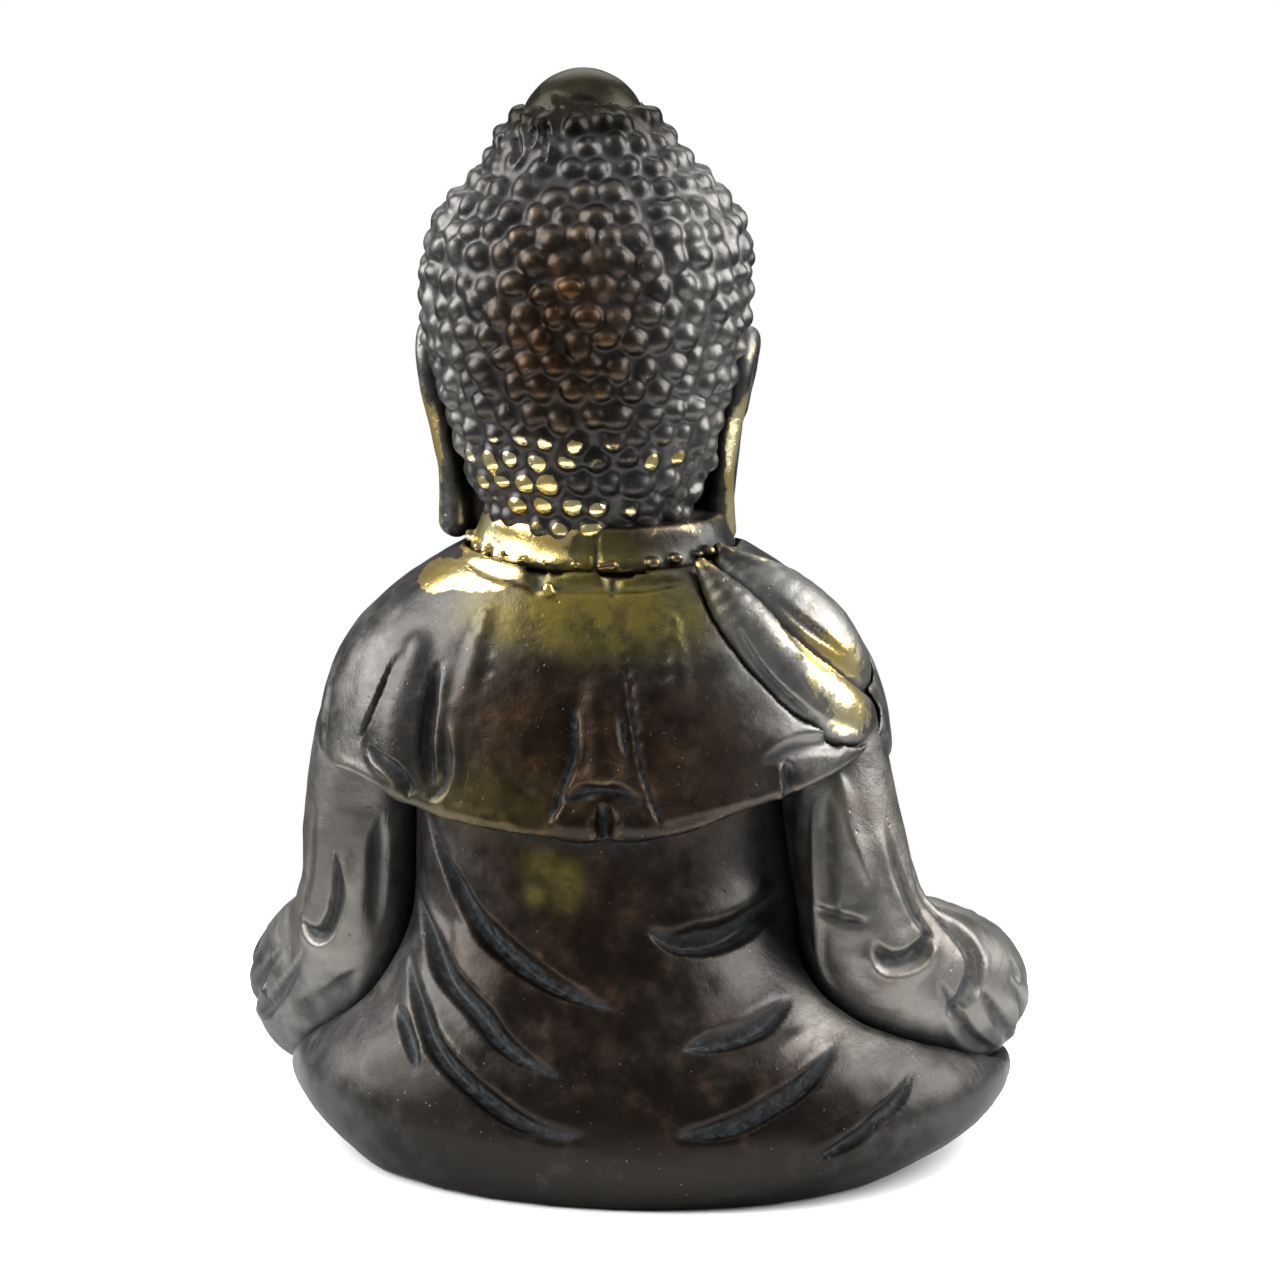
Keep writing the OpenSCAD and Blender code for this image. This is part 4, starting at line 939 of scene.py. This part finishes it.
TIGHT = 0.05  # a joint without a seam to see
hair = cut(hair, jewel - TIGHT, 0.3)
skull = cut(skull, bead - TIGHT, 0.2)
skull = cut(skull, hair - TIGHT, 0.25)
for ear in (left_ear, right_ear):
    hair = cut(hair, ear - 0.15, 0.4)
    skull = cut(skull, ear - TIGHT, 0.4)
head_whole = np.minimum.reduce([skull, hair, jewel, left_ear, right_ear])
head_fine = blurred(H, head_whole, 0.55)
head_broad = blurred(H, head_whole, 1.8)


def head_shade(p):
    near, wide = H.sample(head_fine, p), H.sample(head_broad, p)
    nape = patches(p, (1, (8.2, 9, 64.6), (5, 6, 3.2), 1.5), (0.9, (2.6, 10, 61), (5.4, 5, 2), 1.4),
                   (0.6, (-5.6, 9, 66), (3, 5, 2), 1.4), (0.5, (3, 11, 67), (5, 5, 2), 1.4))
    sides = smoothstep(6, 11, np.abs(p[:, 0] - FACE_X))
    crown = smoothstep(93.6, 96, p[:, 2])
    return {
        "hollow": smoothstep(0.03, 0.28, -near) * 0.75 + smoothstep(0.12, 0.6, -wide) * 0.55,
        "proud": (smoothstep(0.05, 0.3, near) * 0.6 + smoothstep(0.1, 0.5, wide) * 0.4)
                 * (0.3 + 0.7 * near_to(p, (3, 13, 78), (9, 10, 16), 1.5)),
        "rub": nape * (0.2 + 1.3 * smoothstep(-0.02, 0.2, near))
               + 0.16 * near_to(p, (2.6, 13.5, 80), (5.5, 8, 8)) + 0.1,
        # Painted light in the tone: sheen on the flanks, shade over the crown and the middle of the back of
        # the head.
        "tone_and_painted_light": 0.5 + 0.22 * sides - 0.6 * crown - 0.32 * near_to(p, (3, 14, 76), (7, 9, 14), 1.5),
        "warm": near_to(p, (2.8, 14, 78), (6.8, 9, 9), 1.3) + 0.5 * (p[:, 1] < -6),
        "olive": 0.14 * near_to(p, (3.6, 0, 99), (6, 6, 4)),
    }


def skull_shade(p):
    """The skin, darkened with painted shade and dust where it shows behind the ears."""
    out = head_shade(p)
    behind = smoothstep(-4, -1, p[:, 1])
    # Behind the ears: dust through the hollow mask, painted shade through the tone.
    out["hollow"] = np.maximum(out["hollow"], behind)
    out["tone_and_painted_light"] = out["tone_and_painted_light"] * (1 - behind)
    return out


def ear_shade(p):
    """Brass along the outer rim, most on the right ear, low down and to the rear."""
    out = head_shade(p)
    outer = smoothstep(12.4, 13.6, np.abs(p[:, 0] - 3.85)) * np.where(p[:, 0] < 3.8, 1.0, 0.7)
    low, rear = smoothstep(72, 66, p[:, 2]), smoothstep(-3.2, -1.4, p[:, 1])
    near = smoothstep(0.0, 0.3, H.sample(head_fine, p))
    out["rub"] = 0.16 + 1.5 * outer * (0.35 + 0.65 * low) * (0.25 + 0.6 * rear) * (0.5 + 0.5 * near)
    return out


def hand_shade(p):
    near = HG.sample(hand_fine, p)
    level = np.ones(len(p))
    return {"hollow": smoothstep(0.03, 0.25, -near), "proud": smoothstep(0.04, 0.25, near),
            "rub": 0.34 * level, "tone_and_painted_light": 0.6 * level, "warm": 0.4 * level, "olive": 0 * level}


# ------------------------------------------------------------------ materials
class Nodes:
    """A short way to write a shader graph."""

    def __init__(self, name):
        self.mat = bpy.data.materials.new(name)
        self.mat.use_nodes = True
        self.tree = self.mat.node_tree
        self.shader = self.tree.nodes["Principled BSDF"]
        self.place = self.tree.nodes.new("ShaderNodeTexCoord").outputs["Object"]

    def put(self, kind, inputs=(), **settings):
        node = self.tree.nodes.new("ShaderNode" + kind)
        for key, value in settings.items():
            setattr(node, key, value)
        for key, value in dict(inputs).items():
            self.feed(node.inputs[key], value)
        return node

    def feed(self, socket, value):
        if isinstance(value, bpy.types.NodeSocket):
            self.tree.links.new(value, socket)
        else:
            socket.default_value = value

    def attribute(self, name):
        return self.put("Attribute", attribute_name=name).outputs["Fac"]

    def noise(self, size, detail=4, rough=0.55, stretch=None, turn=(0, 0, 0)):
        place = self.place
        if stretch:
            place = self.put("Mapping", {"Vector": place, "Scale": stretch, "Rotation": turn}).outputs[0]
        return self.put("TexNoise", {"Vector": place, "Scale": 1 / (size * U), "Detail": detail,
                                     "Roughness": rough}).outputs["Fac"]

    def specks(self, size):
        """Distance to the nearest of many scattered points."""
        return self.put("TexVoronoi", {"Vector": self.place, "Scale": 1 / (size * U)}).outputs["Distance"]

    def math(self, kind, a, b, clamp=False):
        return self.put("Math", {0: a, 1: b}, operation=kind, use_clamp=clamp).outputs[0]

    def times(self, a, b, clamp=False):
        return self.math("MULTIPLY", a, b, clamp)

    def plus(self, a, b, clamp=False):
        return self.math("ADD", a, b, clamp)

    def minus(self, a, b, clamp=False):
        return self.math("SUBTRACT", a, b, clamp)

    def swing(self, noise, amount):
        """Noise about 0 instead of about a half."""
        return self.times(self.minus(noise, 0.5), amount)

    def ramp(self, value, lo, hi, to_lo=0.0, to_hi=1.0):
        ends = {"From Min": lo, "From Max": hi, "To Min": to_lo, "To Max": to_hi}
        return self.put("MapRange", {"Value": value, **ends}, interpolation_type="SMOOTHSTEP").outputs[0]

    def mix(self, how_much, a, b):
        node = self.put("Mix", data_type="RGBA")
        for socket, value in zip((node.inputs[0], node.inputs[6], node.inputs[7]), (how_much, a, b)):
            self.feed(socket, value)
        return node.outputs[2]

    def blend(self, how_much, a, b):
        return self.put("Mix", {0: how_much, 2: a, 3: b}, data_type="FLOAT").outputs[0]


# DARKEST stands for the film in painted shade and GREY for the film lit with painted sheen; the random mottle
# reaches both as well.
DARKEST, DARK, GREY = (0.011, 0.0095, 0.008, 1), (0.050, 0.047, 0.045, 1), (0.175, 0.170, 0.158, 1)
DARK_BROWN, BROWN, RUST = (0.024, 0.012, 0.005, 1), (0.055, 0.033, 0.016, 1), (0.12, 0.048, 0.013, 1)
BRONZE, BRASS, PALE_BRASS = (0.20, 0.135, 0.068, 1), (0.72, 0.53, 0.17, 1), (0.80, 0.71, 0.41, 1)
OLIVE, SOOT, DUST = (0.15, 0.12, 0.026, 1), (0.012, 0.0135, 0.0155, 1), (0.036, 0.043, 0.048, 1)
LINT = (0.3, 0.29, 0.27, 1)


def patina(name, wear=1.0, shine=0.0, curls=False, brass=0.0):
    """Chemically darkened brass: dark film with painted shade and sheen, brown where thin, bright where
    rubbed, dust in the hollows.
    """
    n = Nodes(name)
    hollow, proud, rub = n.attribute("hollow"), n.attribute("proud"), n.attribute("rub")
    warm, olive = n.attribute("warm"), n.attribute("olive")
    cloud, mottle = n.noise(9, 3), n.noise(2.6, 5, 0.62)
    grain, fine_grain = n.noise(0.7, 4, 0.6), n.noise(0.22, 2)
    streak = n.noise(0.5, 3, 0.6, (1, 1, 0.12), (0.35, 0.2, 0.5))
    cross = n.noise(0.4, 2, 0.6, (0.1, 1, 1), (0.1, 0.5, -0.4))

    # Film colour: grey black, turning brown and rusty over the thin middle of the back; the tone attribute
    # darkens it with painted shade and lightens it to grey with painted sheen, besides its random mottle.
    thin = n.ramp(n.plus(n.times(cloud, 0.6), n.times(mottle, 0.4)), 0.3, 0.62, 0.45, 1.0)
    thin = n.times(warm, thin, True)
    tone_and_painted_light = n.plus(n.attribute("tone_and_painted_light"), n.swing(mottle, 0.75))
    lighter = n.ramp(tone_and_painted_light, 0.0, 0.5)
    colour = n.mix(n.ramp(tone_and_painted_light, 0.5, 1.0), n.mix(lighter, DARKEST, DARK), GREY)
    colour = n.mix(thin, colour, n.mix(lighter, DARK_BROWN, BROWN))
    colour = n.mix(n.times(n.ramp(mottle, 0.56, 0.72), n.times(thin, 0.45)), colour, RUST)
    filed = n.times(olive, n.ramp(mottle, 0.28, 0.58, 0.45, 1), True)
    colour = n.mix(filed, colour, OLIVE)

    # Bronze shows on everything that stands proud, in broken patches.
    worn = n.plus(n.plus(n.times(proud, 0.85 * wear), n.minus(grain, 0.62)), n.swing(mottle, 0.9))
    edge = n.ramp(worn, 0.22, 0.85, 0, 0.62)
    colour = n.mix(edge, colour, n.mix(warm, BRONZE, RUST) if curls else BRONZE)

    # Bright brass where it is handled most.
    bare = n.plus(n.plus(n.times(rub, 1.05), n.swing(mottle, 0.9)), n.swing(grain, 0.55))
    bare = n.plus(bare, n.times(proud, 0.2 if curls else 0.12))
    bare = n.plus(n.minus(bare, n.times(hollow, 0.75)), brass)
    bare = n.ramp(bare, 0.56, 0.82)
    colour = n.mix(bare, colour, n.mix(n.ramp(cloud, 0.4, 0.65), BRASS, PALE_BRASS))

    # Blue grey dust and dark wax lie in the hollows, specks of lint on the film.
    dust = n.times(hollow, n.ramp(grain, 0.3, 0.6, 0.55, 1), True)
    colour = n.mix(dust, colour, DUST if curls else n.mix(n.ramp(grain, 0.4, 0.7), SOOT, DUST))
    lint = n.times(n.ramp(n.specks(0.75), 0.15, 0.05), n.ramp(n.noise(5, 2), 0.44, 0.6))
    lint = n.times(lint, n.ramp(n.noise(0.8, 0), 0.5, 0.62))
    n.feed(n.shader.inputs["Base Color"], n.mix(n.times(lint, 0.45), colour, LINT))

    n.feed(n.shader.inputs["Metallic"], n.minus(0.94, n.times(dust, 0.6), True))
    rough = n.plus(n.ramp(mottle, 0.25, 0.75, 0.34 - shine, 0.48 - shine), n.swing(grain, 0.16))
    rough = n.plus(n.blend(bare, rough, 0.22), n.times(dust, 0.35), True)
    n.feed(n.shader.inputs["Roughness"], rough)
    n.shader.inputs["Coat Weight"].default_value = 0.12
    n.shader.inputs["Coat Roughness"].default_value = 0.3
    n.shader.inputs["Specular IOR Level"].default_value = 0.5
    n.shader.inputs["Specular Tint"].default_value = (0.5, 0.5, 0.5, 1)

    # Unevenness, casting pits and file marks in two directions.
    pits = n.times(n.ramp(n.specks(1.5), 0.16, 0.0), n.ramp(n.noise(3.4, 2), 0.5, 0.66))
    height = n.plus(n.times(mottle, 0.55), n.times(grain, 0.30))
    height = n.minus(n.plus(height, n.times(fine_grain, 0.07)), n.times(pits, 0.75))
    height = n.plus(height, n.times(n.ramp(streak, 0.6, 0.75), n.ramp(n.noise(6, 1), 0.45, 0.6, 0, -0.16)))
    height = n.plus(height, n.times(n.ramp(cross, 0.62, 0.75), n.ramp(n.noise(7, 1), 0.52, 0.64, 0, -0.14)))
    bump = n.put("Bump", {"Strength": 0.42, "Distance": 0.32 * U, "Height": height})
    n.feed(n.shader.inputs["Normal"], bump.outputs[0])
    return n.mat


ROBE, CAPE = patina("robe_patina", 0.65, -0.05), patina("cape_patina", 0.6, -0.04)
HAIR, SKIN = patina("hair_patina", 1, -0.03, curls=True), patina("skin_patina", wear=1.2)
EARS, COLLAR = patina("ear_patina", wear=1.3), patina("rubbed_brass", wear=1.3)
PLATE = patina("plate_brass", brass=0.7)

# ------------------------------------------------------------------ pieces
# A few fields are split at a height into a lower and an upper piece.
LAP_TOP, ELBOW, CROWN = 18, 19, 89.6
for name, d, mat, node, slot, *half in (
        ("torso", body, ROBE, "torso_casting", "robe_patina", LAP_TOP, True),
        ("lap", body, ROBE, "lap_casting", "robe_patina", LAP_TOP, False),
        ("left_upper_sleeve", left_sleeve, ROBE, "left_upper_sleeve", "robe_patina", ELBOW, True),
        ("left_lower_sleeve", left_sleeve, ROBE, "left_lower_sleeve", "robe_patina", ELBOW, False),
        ("right_upper_sleeve", right_sleeve, ROBE, "right_upper_sleeve", "robe_patina", ELBOW, True),
        ("right_lower_sleeve", right_sleeve, ROBE, "right_lower_sleeve", "robe_patina", ELBOW, False),
        ("sash", sash, ROBE, "waist_sash", "robe_patina"),
        ("cape", cape, CAPE, "shoulder_cape", "cape_patina"),
        ("fold_upper", roll_high, CAPE, "shoulder_fold_upper", "cape_patina"),
        ("fold_lower", roll_low, CAPE, "shoulder_fold_lower", "cape_patina"),
        ("collar", collar, COLLAR, "neck_collar", "rubbed_brass")):
    mesh_of(name, B, d, mat, node, slot, body_shade, *half)
for name, d in (("left_hand", left_hand), ("right_hand", right_hand),
                ("left_foot", left_foot), ("right_foot", right_foot)):
    mesh_of(name, HG, d, SKIN, name, "skin_patina", hand_shade)
for name, d, mat, node, slot, shade, *half in (
        ("head", skull, SKIN, "head_casting", "skin_patina", skull_shade),
        ("urna", bead, SKIN, "urna", "skin_patina", head_shade),
        ("hair", hair, HAIR, "hair_cap", "hair_patina", head_shade, CROWN, False),
        ("ushnisha", hair, HAIR, "ushnisha", "hair_patina", head_shade, CROWN, True),
        ("jewel", jewel, HAIR, "crown_jewel", "hair_patina", head_shade),
        ("left_ear", left_ear, EARS, "left_ear", "ear_patina", ear_shade),
        ("right_ear", right_ear, EARS, "right_ear", "ear_patina", ear_shade)):
    mesh_of(name, H, d, mat, node, slot, shade, *half)

# The base plate and the neck tube stay as the CAD's own nodes, in better metal.
for o in list(bpy.data.objects):
    if o.type == "MESH" and o.name.split(".")[0] in ("base_plate", "neck_tenon"):
        for slot in o.material_slots:
            slot.material = PLATE

# ------------------------------------------------------------------ floor and light
FLOOR_RADIUS, FLOOR_SIDES = 88, 96
floor = bpy.data.meshes.new("floor")
rim = [(FLOOR_RADIUS * U * math.cos(a), FLOOR_RADIUS * U * math.sin(a), 0)
       for a in np.linspace(0, 2 * math.pi, FLOOR_SIDES + 1)[:-1]]
floor.from_pydata(rim, [], [tuple(range(FLOOR_SIDES))])
floor = bpy.data.objects.new("floor", floor)
bpy.context.scene.collection.objects.link(floor)
pale = bpy.data.materials.new("floor")
pale.use_nodes = True
pale.node_tree.nodes["Principled BSDF"].inputs["Base Color"].default_value = (0.92, 0.92, 0.92, 1)
pale.node_tree.nodes["Principled BSDF"].inputs["Roughness"].default_value = 0.9
floor.data.materials.append(pale)

# The camera sees a white backdrop; the metal sees a dimmer, cooler room.
world = bpy.data.worlds.new("studio")
world.use_nodes = True
tree = world.node_tree
shown = tree.nodes.new("ShaderNodeLightPath")
both_ways = tree.nodes.new("ShaderNodeMixShader")
backdrop = tree.nodes.new("ShaderNodeBackground")
backdrop.inputs[0].default_value = (1, 1, 1, 1)
backdrop.inputs[1].default_value = 1.0
room = tree.nodes["Background"]
room.inputs[0].default_value = (0.92, 0.96, 1, 1)
room.inputs[1].default_value = 0.26
tree.links.new(shown.outputs["Is Camera Ray"], both_ways.inputs[0])
tree.links.new(room.outputs[0], both_ways.inputs[1])
tree.links.new(backdrop.outputs[0], both_ways.inputs[2])
tree.links.new(both_ways.outputs[0], tree.nodes["World Output"].inputs[0])
bpy.context.scene.world = world
bpy.context.scene.view_settings.view_transform = "Standard"


def softbox(name, turn, rise, reach, size, power):
    light = bpy.data.lights.new(name, "AREA")
    light.shape, light.size, light.size_y = "RECTANGLE", size[0] * U, size[1] * U
    light.energy = power
    looking_in(name, light, (0, 0, 45), turn, rise, reach)


softbox("soft_left", 102, 30, 480, (400, 400), 5)
softbox("soft_right", 282, 30, 480, (400, 400), 5)
softbox("soft_top", 190, 82, 460, (320, 260), 0.35)
softbox("soft_front", 10, 40, 520, (360, 300), 1.6)
sky = bpy.data.lights.new("soft_sky", "SUN")
sky.energy, sky.angle = 3.1, math.radians(70)
sky = bpy.data.objects.new("soft_sky", sky)
sky.visible_glossy = False
bpy.context.scene.collection.objects.link(sky)
